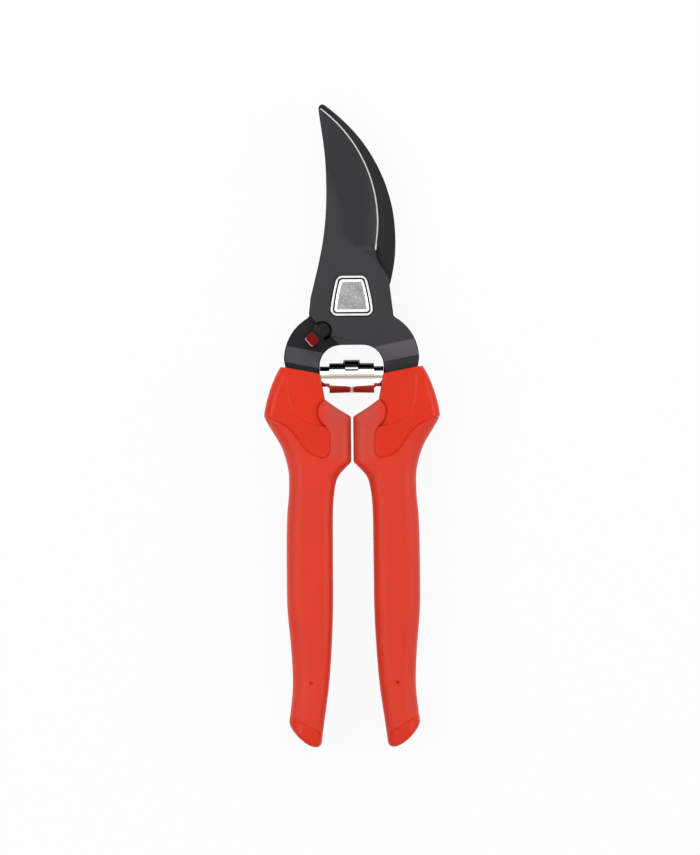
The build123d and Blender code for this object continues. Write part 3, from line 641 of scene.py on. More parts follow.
def rounded_copy(name, node, width, segments, material, sharp_angle=SHARP_ANGLE, reshape=None):
    """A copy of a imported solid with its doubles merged, reshaped if asked, and its sharp edges rounded."""
    shape = bmesh.new()
    shape.from_mesh(frame["nodes"][node].data)
    bmesh.ops.remove_doubles(shape, verts=shape.verts, dist=MERGE_WITHIN)
    bmesh.ops.dissolve_limit(shape, angle_limit=math.radians(FLAT_ANGLE), verts=shape.verts, edges=shape.edges)
    if reshape:
        reshape(shape)
    mesh = bpy.data.meshes.new(name)
    shape.to_mesh(mesh)
    shape.free()
    piece = new_piece(name, mesh, material, material)
    mesh.polygons.foreach_set("material_index", np.zeros(len(mesh.polygons), np.int32))
    mesh.shade_smooth()
    round_edges(piece, width, segments, sharp_angle, material=1)
    mesh = piece.data
    on_edge = np.zeros(len(mesh.polygons), np.int32)
    mesh.polygons.foreach_get("material_index", on_edge)
    mark(mesh, "edge", on_edge, "FACE")
    mesh.polygons.foreach_set("material_index", np.zeros(len(mesh.polygons), np.int32))
    mesh.materials.pop(index=1)
    return stand_for(piece, node)


def cut_by(shape, spot, normal):
    """Cuts every face of a shape along a plane."""
    parts = [*shape.verts, *shape.edges, *shape.faces]
    bmesh.ops.bisect_plane(shape, geom=parts, dist=CUT_WITHIN, plane_co=spot, plane_no=normal)


def face_places(mesh):
    """The middle of each face, in millimetres about the pivot's axis."""
    return np.array([face.center for face in mesh.polygons]) / MM - (0, PIVOT_Y, 0)


def vertex_places(mesh):
    """Each vertex, in millimetres about the pivot's axis."""
    return np.array([vertex.co for vertex in mesh.vertices]) / MM - (0, PIVOT_Y, 0)


def mark_fold_highlight_and_tang_shade(piece, side, fold_highlight):
    """Marks the sloping band of a shank for a painted highlight, and the flat below it for painted shade."""
    mesh = piece.data
    places = face_places(mesh)
    along = side * math.sin(FOLD_LEAN) * places[:, 0] - math.cos(FOLD_LEAN) * places[:, 1]
    # Painted highlight on the sloping fold, painted shade on the tang's flat below it
    mark(mesh, "fold_highlight", (along > fold_highlight[0]) & (along < fold_highlight[1]), "FACE")
    mark(mesh, "tang_shade", along >= fold_highlight[1], "FACE")


def edge_circle():
    """Centre and radius of the circle that the cutting edge follows."""
    tip, belly, heel = (np.array(point) for point in (BLADE_TIP, EDGE_BELLY, EDGE_HEEL))
    right = [belly @ belly - tip @ tip, heel @ heel - tip @ tip]
    centre = np.linalg.solve(2 * np.array([belly - tip, heel - tip]), right)
    return centre, math.dist(centre, belly)


def grind_share(places):
    """How far each place has gone from the blade's thick body to its ground face, 0 to 1."""
    line = smooth_path(GRIND_LINE, GRIND_POINTS)
    far = 100.0
    ground = signed_distance(line, np.array([(far, line[-1][1]), (far, far), (line[0][0], far)]))
    return soft_step(ground(places) / np.interp(places[:, 0], *GRIND_SOFTNESS))


def front_height(places):
    """Height of the blade's front: the body, the ground flat, its hollow, and the edge's bevel."""
    centre, radius = edge_circle()
    from_edge = radius - np.linalg.norm(places - centre, axis=1)
    flat = BLADE_TOP - GRIND_STEP
    run, drop = HOLLOW_WIDTH - BEVEL_WIDTH, flat - BLADE_BOTTOM - EDGE_THICK
    bend = (run ** 2 + drop ** 2) / (2 * drop)
    into = np.clip(HOLLOW_WIDTH - from_edge, 0, run)
    hollow = flat - bend + np.sqrt(bend ** 2 - into ** 2)
    bevel = BLADE_BOTTOM + EDGE_THICK * np.maximum(from_edge, 0) / BEVEL_WIDTH
    sharp = soft_step((places[:, 1] - PLUNGE_Y) / PLUNGE_SOFTNESS)
    ground = flat + sharp * (np.minimum(hollow, bevel) - flat)
    return BLADE_TOP + grind_share(places) * (ground - BLADE_TOP)


def in_order(edges):
    """The vertices of an open run of edges, from one end to the other."""
    near = {}
    for edge in edges:
        for vertex in edge.verts:
            near.setdefault(vertex, []).append(edge)
    vertex = next(vertex for vertex, joined in near.items() if len(joined) == 1)
    run, left = [vertex], set(edges)
    while left:
        edge = next(edge for edge in near[vertex] if edge in left)
        left.remove(edge)
        vertex = edge.other_vert(vertex)
        run.append(vertex)
    return run


def plan_places(vertices):
    """Where vertices lie across the front, in millimetres about the pivot's axis."""
    return np.array([vertex.co for vertex in vertices])[:, :2] / MM - (0, PIVOT_Y)


def net_points(loop):
    """Places inside an outline for the net: a row along the bevel's top, and a square grid."""
    centre, radius = edge_circle()
    turn = np.arange(-math.pi / 2, math.pi / 2, FRONT_STEP / radius)
    row = centre + (radius - BEVEL_WIDTH) * np.stack([np.cos(turn), np.sin(turn)], axis=1)
    low, high = loop.min(axis=0), loop.max(axis=0)
    across, up = np.meshgrid(np.arange(low[0], high[0], FRONT_STEP), np.arange(low[1], high[1], FRONT_STEP))
    grid = np.stack([across.ravel(), up.ravel()], axis=1)
    from_edge = radius - np.linalg.norm(grid - centre, axis=1)
    grid = grid[(from_edge > BEVEL_WIDTH + FRONT_STEP / 2) | (grid[:, 1] < PLUNGE_Y)]
    rim = np.concatenate([loop, loop[:1]])
    row = row[row[:, 1] > PLUNGE_Y + FRONT_STEP]
    return [points[inside(points, loop) & (path_distance(points, rim) > least)]
            for points, least in ((row, BEVEL_WIDTH * BEVEL_ROW_ROOM), (grid, FRONT_STEP))]


def shape_front(shape):
    """Gives the blade, above a line past the badge, a fine front that follows the ground form."""
    spot, normal = Vector(in_frame([(*NET_SPOT, 0.0)])[0]), Vector(NET_LEAN).normalized()
    cut_by(shape, spot, normal)
    above = [face for face in shape.faces if (face.calc_center_median() - spot).dot(normal) > 0]
    bmesh.ops.delete(shape, geom=[face for face in above if face.normal.z > SOLE_NORMAL], context="FACES")
    level = (BLADE_BOTTOM + BLADE_TOP) / 2 * MM
    open_edges = [edge for edge in shape.edges if edge.is_boundary]
    spans = {edge: edge.verts[0].co - edge.verts[1].co for edge in open_edges}
    posts = [edge for edge, span in spans.items() if abs(span.z) > span.xy.length]
    runs = [edge for edge in open_edges if edge not in posts]
    sole = in_order([edge for edge in runs if max(vertex.co.z for vertex in edge.verts) < level])
    brow = in_order([edge for edge in runs if min(vertex.co.z for vertex in edge.verts) > level])

    def part_way(foot, head):
        """Vertices on the upright edge between two others, from the top down."""
        found = {vertex for edge in posts for vertex in edge.verts} - {foot, head}
        found = [vertex for vertex in found if (vertex.co - foot.co).xy.length < POST_REACH * MM]
        return sorted(found, key=lambda vertex: -vertex.co.z)

    if (brow[0].co - sole[-1].co).length > (brow[-1].co - sole[-1].co).length:
        brow.reverse()
    raised = [brow[-1]]
    for vertex, height in zip(sole[1:-1], front_height(plan_places(sole[1:-1]))):
        thin = height - BLADE_BOTTOM < EDGE_THICK
        raised.append(vertex if thin else shape.verts.new((vertex.co.x, vertex.co.y, height * MM)))
    raised.append(brow[0])
    for i in range(len(sole) - 1):
        corners = [sole[i], sole[i + 1], raised[i + 1], raised[i]]
        if i == 0:
            corners += part_way(sole[0], raised[0])
        if i == len(sole) - 2:
            corners[2:2] = part_way(sole[-1], raised[-1])[::-1]
        corners = list(dict.fromkeys(corners))
        if len(corners) > 2:
            shape.faces.new(corners)
    rim = raised + brow[1:-1]
    loop = plan_places(rim)
    row, grid = net_points(loop)
    points = np.concatenate([row, grid])
    heights = front_height(points)
    net = rim + [shape.verts.new((*in_frame([(x, y, z)])[0],)) for (x, y), z in zip(points, heights)]
    bounds = [(i, (i + 1) % len(rim)) for i in range(len(rim))]
    bounds += [(len(rim) + i, len(rim) + i + 1) for i in range(len(row) - 1)]
    places = np.concatenate([loop, points])
    found = delaunay_2d_cdt([Vector(place) for place in places], bounds, [], 0, CUT_WITHIN)
    triangles = np.array([[found[3][corner][0] for corner in face] for face in found[2]])
    middles = places[triangles].mean(axis=1)
    for triangle in triangles[inside(middles, loop)]:
        shape.faces.new([net[corner] for corner in triangle])
    bmesh.ops.recalc_face_normals(shape, faces=shape.faces)


class SHEARS_OT_blades(bpy.types.Operator):
    """Dress the cutting blade and the hook"""

    bl_idname = "shears.blades"
    bl_label = "Blade and hook"

    def execute(self, context):
        sizes, colours = context.scene.shears_sizes, context.scene.shears_colours
        blade = rounded_copy("blade_plate", "cutting_blade", sizes.plate_edge_round, 3,
                             coated_blade_finish(colours), sharp_angle=BLADE_SHARP_ANGLE, reshape=shape_front)
        mesh = blade.data
        mark_fold_highlight_and_tang_shade(blade, 1, BLADE_FOLD)
        places = vertex_places(mesh)
        past_badge = (places[:, :2] - NET_SPOT) @ NET_LEAN[:2] > 0
        mark(mesh, "ground", np.where(past_badge, grind_share(places[:, :2]), 0.0))
        mesh.materials.append(bare_edge_finish())
        centre, radius = edge_circle()
        places = face_places(mesh)
        from_edge = radius - np.linalg.norm(places[:, :2] - centre, axis=1)
        bare = (np.abs(from_edge) < BEVEL_WIDTH) & (places[:, 1] > PLUNGE_Y) & (places[:, 2] > BLADE_BOTTOM)
        facing = np.array([face.normal.z for face in mesh.polygons])
        mesh.polygons.foreach_set("material_index", (bare & (facing > BARE_NORMAL)).astype(np.int32))
        hook = rounded_copy("hook_plate", "hook_blade", sizes.plate_edge_round * HOOK_ROUND_SHARE, 3,
                            hook_finish(colours))
        mark_fold_highlight_and_tang_shade(hook, -1, HOOK_FOLD)
        return {"FINISHED"}


class SHEARS_OT_pivot(bpy.types.Operator):
    """Dress the bolt, the bush, the washer and the nut"""

    bl_idname = "shears.pivot"
    bl_label = "Pivot"

    def execute(self, context):
        sizes = context.scene.shears_sizes
        zinc = plated_finish("zinc_steel", ZINC, 0.26, 0.40, 1300.0, 0.18)
        bronze = plated_finish("bearing_bronze", BRONZE, 0.30, 0.42, 1300.0, 0.25)
        for node, name in (("pivot_bolt", "bolt"), ("pivot_washer", "back_washer"), ("pivot_nut", "back_nut")):
            rounded_copy(name, node, sizes.small_edge_round, 2, zinc)
        rounded_copy("hub_bush", "pivot_bush", sizes.small_edge_round, 2, bronze)
        for side in ("left", "right"):
            rounded_copy(f"{side}_peg", f"{side}_spring_peg", sizes.small_edge_round, 2, zinc)
        return {"FINISHED"}


class SHEARS_OT_badge(bpy.types.Operator):
    """Dress the badge's carrier, bright rim and bevelled plate"""

    bl_idname = "shears.badge"
    bl_label = "Badge"

    def execute(self, context):
        sizes, colours = context.scene.shears_sizes, context.scene.shears_colours
        bright = plated_finish("bright_badge", shade(colours.bright, 0.74), 0.07, 0.16, 900.0, 0.05)
        rounded_copy("badge_bezel", "badge_rim", sizes.bezel_round, 4, bright)
        plate = rounded_copy("badge_face", "badge_plate", sizes.small_edge_round, 3, bright,
                             sharp_angle=BADGE_SHARP_ANGLE)
        plate.data.materials.append(satin_badge_finish(colours))
        top = max(face.center.z for face in plate.data.polygons)
        for face in plate.data.polygons:
            if face.normal.z > LEVEL_NORMAL and face.center.z > top - TOP_REACH * MM:
                face.material_index = 1
        dark = dark_finish("dark_plastic", SEAT_BLACK, 0.45, 0.6)
        rounded_copy("badge_seat", "badge_carrier", sizes.small_edge_round * 0.5, 1, dark)
        return {"FINISHED"}


class SHEARS_OT_lock(bpy.types.Operator):
    """Dress the lock lever, its rivet and its washer"""

    bl_idname = "shears.lock"
    bl_label = "Lock"

    def execute(self, context):
        sizes, colours = context.scene.shears_sizes, context.scene.shears_colours
        red = red_finish("dark_red_plastic", colours.lock_red, 0.22, 0.32, 0.8, 1500.0, 0.15,
                         Specular_IOR_Level=0.1)
        direction = Vector((math.cos(LOCK_ANGLE), math.sin(LOCK_ANGLE), 0))

        def part_colours(shape):
            """Cuts the lever where its colour changes."""
            for at in (LOCK_RED_FROM, LOCK_HIGHLIGHT_FROM):
                spot = in_frame([(*LOCK_CENTRE, 0.0)])[0] + np.array(direction) * at * MM
                cut_by(shape, spot, direction)

        tab = rounded_copy("lock_tab", "lock_lever", sizes.small_edge_round * 2.0, 4, red, reshape=part_colours)
        rivet = dark_finish("black_rivet_steel", RIVET_BLACK, 0.28, 0.42)
        tab.data.materials.append(rivet)
        # Painted highlight: a pale pink laid on the rounded rim at the tab's end
        wear_and_highlight = red_finish("red_plastic_painted_highlight", LOCK_HIGHLIGHT_PINK, 0.3, 0.4, 0.9, 1500.0, 0.1)
        tab.data.materials.append(wear_and_highlight)
        along = (face_places(tab.data)[:, :2] - LOCK_CENTRE) @ np.array(direction)[:2]
        rounded = np.zeros(len(along), np.float32)
        tab.data.attributes["edge"].data.foreach_get("value", rounded)
        # The rounded rim at the tab's end takes the painted highlight
        rim = (along > LOCK_HIGHLIGHT_FROM) & (rounded > 0.5)
        chosen = np.where(rim, 2, along < LOCK_RED_FROM).astype(np.int32)
        tab.data.polygons.foreach_set("material_index", chosen)
        rounded_copy("lock_pin", "lock_rivet", sizes.small_edge_round, 3, rivet, sharp_angle=RIVET_SHARP_ANGLE)
        rounded_copy("lock_ring", "lock_washer", sizes.small_edge_round * 0.5, 1,
                     plated_finish("washer_steel", WASHER_STEEL, 0.2, 0.3, 1300.0, 0.1))
        return {"FINISHED"}


def strip_tree():
    """Node tree that winds a strip in a spiral, wide inside and narrow at its outer tongue."""
    tree = bpy.data.node_groups.new("Wound Strip", "GeometryNodeTree")
    add_sockets(tree, [
        ("Turns", FLOAT, 3.0), ("Outer Radius", FLOAT, 6.1 * MM), ("Pitch", FLOAT, 1.1 * MM),
        ("Strip", FLOAT, 0.6 * MM), ("Body Radius", FLOAT, 4.175 * MM), ("End Radius", FLOAT, 4.01 * MM),
        ("Body Half", FLOAT, 7.5 * MM), ("End Half", FLOAT, 10.65 * MM), ("Tip Half", FLOAT, 2.1 * MM),
        ("Tongue Half", FLOAT, 2.85 * MM), ("Tongue Sweep", FLOAT, math.radians(100.0)),
        ("Start Angle", FLOAT, math.radians(28.0)), ("Middle", VECTOR, (0.0, 0.0, 0.0)),
        ("Steps", "NodeSocketInt", 420), ("Material", "NodeSocketMaterial", None),
    ], [("Geometry", "NodeSocketGeometry")])
    wiring = Wiring(tree)
    given = wiring.add("NodeGroupInput").outputs

    def times(first, second):
        return wiring.math("MULTIPLY", first, second)

    grid = wiring.add("GeometryNodeMeshGrid", {
        "Size X": 1.0, "Size Y": 1.0, "Vertices X": given["Steps"], "Vertices Y": STRIP_ROWS}).outputs["Mesh"]
    place = wiring.add("ShaderNodeSeparateXYZ", {0: wiring.add("GeometryNodeInputPosition").outputs[0]}).outputs
    turned = times(wiring.math("ADD", place[0], 0.5), given["Turns"])
    across = times(place[1], 2.0)
    angle = times(turned, 2 * math.pi)
    radius = wiring.math("SUBTRACT", given["Outer Radius"], times(turned, given["Pitch"]))
    half = wiring.ramp(radius, given["Body Radius"], given["End Radius"], given["Body Half"], given["End Half"])
    sweep = given["Tongue Sweep"]
    tongue = wiring.ramp(angle, 0.0, times(sweep, TONGUE_FULL_AT), given["Tip Half"], given["Tongue Half"])
    half = wiring.ramp(angle, sweep, wiring.math("ADD", sweep, TONGUE_STEP), tongue, half)
    lean = wiring.math("ADD", angle, given["Start Angle"])
    sine, cosine = wiring.math("SINE", lean), wiring.math("COSINE", lean)
    spot = wiring.add("ShaderNodeCombineXYZ", {
        0: times(across, half), 1: times(radius, sine), 2: times(radius, cosine)}).outputs[0]
    spot = wiring.add("ShaderNodeVectorMath", {0: spot, 1: given["Middle"]}, operation="ADD").outputs[0]
    inward = wiring.add("ShaderNodeCombineXYZ", {1: times(sine, -1.0), 2: times(cosine, -1.0)}).outputs[0]
    kept = wiring.add("GeometryNodeCaptureAttribute", domain="POINT")
    kept.capture_items.new("VECTOR", "Inward")
    wiring.put(kept.inputs[0], grid)
    wiring.put(kept.inputs[1], inward)
    outer = wiring.add("GeometryNodeSetPosition", {"Geometry": kept.outputs[0], "Position": spot}).outputs[0]
    offset = wiring.add("ShaderNodeVectorMath", {0: kept.outputs[1], "Scale": given["Strip"]},
                        operation="SCALE")
    inner = wiring.add("GeometryNodeExtrudeMesh", {
        "Mesh": outer, "Offset": offset.outputs[0], "Offset Scale": 1.0, "Individual": False}).outputs[0]
    back = wiring.add("GeometryNodeFlipFaces", {0: outer}).outputs[0]
    joined = wiring.add("GeometryNodeJoinGeometry")
    wiring.put(joined.inputs[0], inner)
    wiring.put(joined.inputs[0], back)
    closed = wiring.add("GeometryNodeMergeByDistance", {"Geometry": joined.outputs[0], "Distance": 1e-6})
    real = wiring.add("GeometryNodeRealizeInstances", {0: closed.outputs[0]}).outputs[0]
    painted = wiring.add("GeometryNodeSetMaterial", {"Geometry": real, "Material": given["Material"]})
    wiring.put(wiring.add("NodeGroupOutput").inputs[0], painted.outputs[0])
    return tree


class SHEARS_OT_spring(bpy.types.Operator):
    """Wind the strip spring between the handles"""

    bl_idname = "shears.spring"
    bl_label = "Spring"

    def execute(self, context):
        sizes, colours = context.scene.shears_sizes, context.scene.shears_colours
        tree = strip_tree()
        finish = spring_finish(colours)
        spring = new_piece("strip_spring", bpy.data.meshes.new("strip_spring"), finish)
        winding = spring.modifiers.new("Winding", "NODES")
        winding.node_group = tree
        middle = in_frame([(0.0, SPRING_Y, HANDLE_MIDDLE)])[0]
        values = {"Strip": sizes.spring_strip, "Outer Radius": sizes.spring_radius, "Pitch": sizes.spring_pitch,
                  "Middle": [float(value) for value in middle], "Material": finish}
        for item in tree.interface.items_tree:
            if item.name in values:
                winding[item.identifier] = values[item.name]
        settle(spring)
        shape = bmesh.new()
        shape.from_mesh(spring.data)
        bmesh.ops.recalc_face_normals(shape, faces=shape.faces)
        shape.to_mesh(spring.data)
        shape.free()
        spring.data.shade_smooth()
        round_edges(spring, SPRING_EDGE_ROUND * MM, 2, SPRING_SHARP_ANGLE)
        self.mark_painted_reflections(spring.data)
        stand_for(spring, "volute_spring", rides=False)
        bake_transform(spring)
        return {"FINISHED"}

    def mark_painted_reflections(self, mesh):
        """Marks the coil's front, top and underside for the painted reflections, by the angle about its axis."""
        places = vertex_places(mesh) - (0, SPRING_Y, HANDLE_MIDDLE)
        angle = np.degrees(np.arctan2(places[:, 1], places[:, 2]))
        for name, (start, end, softness, _) in SPRING_PAINTED_REFLECTIONS.items():
            mark(mesh, name, soft_step((angle - start) / softness) * soft_step((end - angle) / softness))


def through(knots, values, at):
    """Natural cubic through values at rising knots, read at other places."""
    knots, values, at = np.asarray(knots, float), np.asarray(values, float), np.asarray(at, float)
    count, gap = len(knots), np.diff(knots)
    system, right = np.eye(count), np.zeros(count)
    for i in range(1, count - 1):
        system[i, i - 1:i + 2] = gap[i - 1], 2 * (gap[i - 1] + gap[i]), gap[i]
        right[i] = 6 * ((values[i + 1] - values[i]) / gap[i] - (values[i] - values[i - 1]) / gap[i - 1])
    bend = np.linalg.solve(system, right)
    k = np.clip(np.searchsorted(knots, at) - 1, 0, count - 2)
    b = (at - knots[k]) / gap[k]
    a = 1 - b
    curve = ((a ** 3 - a) * bend[k] + (b ** 3 - b) * bend[k + 1]) * gap[k] ** 2 / 6
    return a * values[k] + b * values[k + 1] + curve


def smooth_path(points, count):
    """Points along a smooth line through a few given ones."""
    points = np.asarray(points, float)
    knots = np.concatenate([[0], np.cumsum(np.linalg.norm(np.diff(points, axis=0), axis=1))])
    at = np.linspace(0, knots[-1], count)
    return np.stack([through(knots, points[:, 0], at), through(knots, points[:, 1], at)], axis=1)


def path_distance(places, path):
    """Distance of each place from a line of points."""
    best = np.full(len(places), 1e9)
    for start, end in zip(path[:-1], path[1:]):
        run = end - start
        share = np.clip(((places - start) @ run) / (run @ run), 0, 1)
        best = np.minimum(best, np.linalg.norm(places - start - share[:, None] * run, axis=1))
    return best


def inside(places, outline):
    """True for each place inside a closed outline."""
    result = np.zeros(len(places), bool)
    x, y = places[:, 0], places[:, 1]
    for (x0, y0), (x1, y1) in zip(outline, np.roll(outline, -1, axis=0)):
        if y0 != y1:
            crosses = ((y0 > y) != (y1 > y)) & (x < (x1 - x0) * (y - y0) / (y1 - y0) + x0)
            result ^= crosses
    return result


def signed_distance(path, closing):
    """A function that gives the distance from a line, positive inside the outline that closing makes of it."""
    outline = np.concatenate([path, closing])

    def field(places):
        distance = path_distance(places, path)
        return np.where(inside(places, outline), distance, -distance)

    return field


def seam_fields():
    """Signed distances from the collar's seam, the crease of its face, and the tail's seam."""
    seam = np.concatenate([
        [SEAM_START], smooth_path(SEAM_LOWER, SEAM_POINTS), smooth_path(TONGUE_END, TONGUE_POINTS)[1:],
        smooth_path(SEAM_FLANK, FLANK_POINTS), [SEAM_END]])
    collar = signed_distance(seam, [(SEAM_END[0], 0.0), (SEAM_START[0], 0.0)])
    face = signed_distance(smooth_path(CREASE, CREASE_POINTS), [(0.0, CREASE[-1][1]), (0.0, CREASE[0][1])])
    tail_line = np.concatenate([[TAIL_SEAM_START], smooth_path(TAIL_SEAM, TAIL_SEAM_POINTS), [TAIL_SEAM_END]])
    tail = signed_distance(tail_line, [(TAIL_SEAM_END[0], TAIL_FAR_Y), (TAIL_SEAM_START[0], TAIL_FAR_Y)])
    return collar, face, tail


def edge_profiles():
    """Inner and outer edge of the handle against the distance below the pivot, with corners just rounded."""
    below = np.arange(-HANDLE_RUNS[0][0][0], -HANDLE_RUNS[-1][-1][0] + PROFILE_STEP, PROFILE_STEP)
    inner, outer = np.zeros_like(below), np.zeros_like(below)
    for run in HANDLE_RUNS:
        knots = [-station[0] for station in run]
        part = (below >= knots[0] - 1e-9) & (below <= knots[-1] + 1e-9)
        inner[part] = through(knots, [station[1] for station in run], below[part])
        outer[part] = through(knots, [station[2] for station in run], below[part])
    reach = np.arange(-PROFILE_REACH, PROFILE_REACH + 1)
    kernel = np.exp(-0.5 * (reach * PROFILE_STEP / PROFILE_BLUR) ** 2)
    kernel /= kernel.sum()

    def soften(values):
        return np.convolve(np.pad(values, PROFILE_REACH, mode="edge"), kernel, mode="valid")

    return below, soften(inner), soften(outer)


def section(inner, outer, inner_round, outer_round, inset):
    """Front half of one rounded section, from the inner side's middle over the front to the outer side's."""
    side, arc, flat = SIDE_POINTS, ARC_POINTS, FLAT_POINTS
    top = HANDLE_DEPTH - inset
    middle = (HANDLE_DEPTH - BACK_LAND) / 2
    inner, outer = inner + inset, outer - inset
    inner_round, outer_round = (max(value - inset, LEAST_ROUND) for value in (inner_round, outer_round))
    up = np.linspace(middle, top - inner_round, side, endpoint=False)
    turn = np.linspace(0, math.pi / 2, arc, endpoint=False)
    along = np.linspace(inner + inner_round, outer - outer_round, flat, endpoint=False)
    down = np.linspace(top - outer_round, middle, side + 1)
    x = np.concatenate([
        np.full(side, inner), inner + inner_round * (1 - np.cos(turn)), along,
        outer - outer_round * (1 - np.sin(turn)), np.full(side + 1, outer)])
    z = np.concatenate([
        up, top - inner_round * (1 - np.sin(turn)), np.full(flat, top),
        top - outer_round * (1 - np.cos(turn)), down])
    return x, z


def handle_rows():
    """Every row down the handle: its line y over x, and how far it is drawn in at the rounded ends."""
    slope = (RIM_OUTER[1] - RIM_INNER[1]) / (RIM_OUTER[0] - RIM_INNER[0])
    cut = smooth_path(TAIL_CUT, TAIL_CUT_POINTS)

    def rim(x):
        return RIM_INNER[1] + (x - RIM_INNER[0]) * slope

    def tail(x):
        return np.interp(x, cut[:, 0], cut[:, 1])

    def rim_row(lift, share):
        return lambda x: (1 - share) * (rim(x) - lift) + share * COLLAR_FOOT_Y

    def tail_row(lift, share):
        return lambda x: (1 - share) * TAIL_TOP_Y + share * (tail(x) + lift)

    def level_row(y):
        return lambda x: np.full_like(np.asarray(x, float), y)

    flank_sheen = np.arange(COLLAR_FOOT_Y, FLANK_FOOT_Y - FLANK_ROWS_PAST, -FLANK_ROW_STEP)
    grip = np.linspace(FLANK_FOOT_Y - GRIP_ROWS_FROM, TAIL_TOP_Y, GRIP_ROWS, endpoint=False)
    rows = [(rim_row(RIM_ROUND * (1 - math.cos(turn)), 0.0), RIM_ROUND * (1 - math.sin(turn)))
            for turn in np.linspace(0, math.pi / 2, RIM_ROWS)[:-1]]
    rows += [(rim_row(RIM_ROUND, share), 0.0) for share in np.linspace(0, 1, COLLAR_ROWS, endpoint=False)]
    rows += [(level_row(y), 0.0) for y in (*flank_sheen, *grip)]
    rows += [(tail_row(TAIL_ROUND, share), 0.0) for share in np.linspace(0, 1, TAIL_ROWS)]
    rows += [(tail_row(TAIL_ROUND * (1 - math.sin(turn)), 1.0), TAIL_ROUND * (1 - math.cos(turn)))
             for turn in np.linspace(0, math.pi / 2, TAIL_END_ROWS)[1:]]
    return rows


def handle_grid():
    """Points and faces of the whole right handle, before its seams are cut."""
    below, inner_edge, outer_edge = edge_profiles()
    points, rows = [], handle_rows()
    for line, inset in rows:
        inner, outer = EDGE_GUESS
        for _ in range(EDGE_ROUNDS):
            inner_y, outer_y = float(line(inner)), float(line(outer))
            inner, outer = np.interp(-inner_y, below, inner_edge), np.interp(-outer_y, below, outer_edge)
        y = -(inner_y + outer_y) / 2
        inner_round = np.interp(y, ROUND_KNOTS, INNER_ROUNDS)
        outer_round = np.interp(y, ROUND_KNOTS, OUTER_ROUNDS)
        x, z = section(inner, outer, inner_round, outer_round, inset)
        back = HANDLE_DEPTH - BACK_LAND - z[1:-1][::-1]
        loop_x = np.concatenate([x, x[1:-1][::-1]])
        loop_z = np.maximum(np.concatenate([z, back]), 0.0)
        points.append(np.stack([loop_x, line(loop_x), loop_z], axis=1))
    count, half = len(points[0]), len(x)
    faces = []
    for row in range(len(rows) - 1):
        a, b = row * count, (row + 1) * count
        faces += [(a + i, a + (i + 1) % count, b + (i + 1) % count, b + i) for i in range(count)]
    for start in (0, (len(rows) - 1) * count):
        ladder = [(i, i + 1, 2 * half - 3 - i, 2 * half - 2 - i) for i in range(1, half - 2)]
        ladder += [(0, 1, 2 * half - 3), (half - 2, half - 1, half)]
        faces += [tuple(start + i for i in face) for face in ladder]
    return np.concatenate(points), faces


def read_places(shape):
    """Where a shape's vertices are, one row for each."""
    return np.array([vertex.co for vertex in shape.verts])


def put_places(shape, places):
    """Moves a shape's vertices to new places."""
    for vertex, place in zip(shape.verts, places):
        vertex.co = place


def cut_along(shape, values, level):
    """Cuts faces along the line where a value known at each vertex passes a level."""
    shape.verts.index_update()
    height = values - level
    height = np.where(np.abs(height) < NEAR_NOTHING, NEAR_NOTHING, height)
    crossing = [edge for edge in shape.edges
                if (height[edge.verts[0].index] > 0) != (height[edge.verts[1].index] > 0)]
    fresh = []
    for edge in crossing:
        first, second = edge.verts
        share = height[first.index] / (height[first.index] - height[second.index])
        fresh.append(bmesh.utils.edge_split(edge, first, share)[1])
    bmesh.ops.connect_verts(shape, verts=fresh)
    shape.verts.ensure_lookup_table()


def soft_step(value):
    """0 below 0, 1 above 1, and a smooth rise between."""
    value = np.clip(value, 0, 1)
    return value * value * (3 - 2 * value)


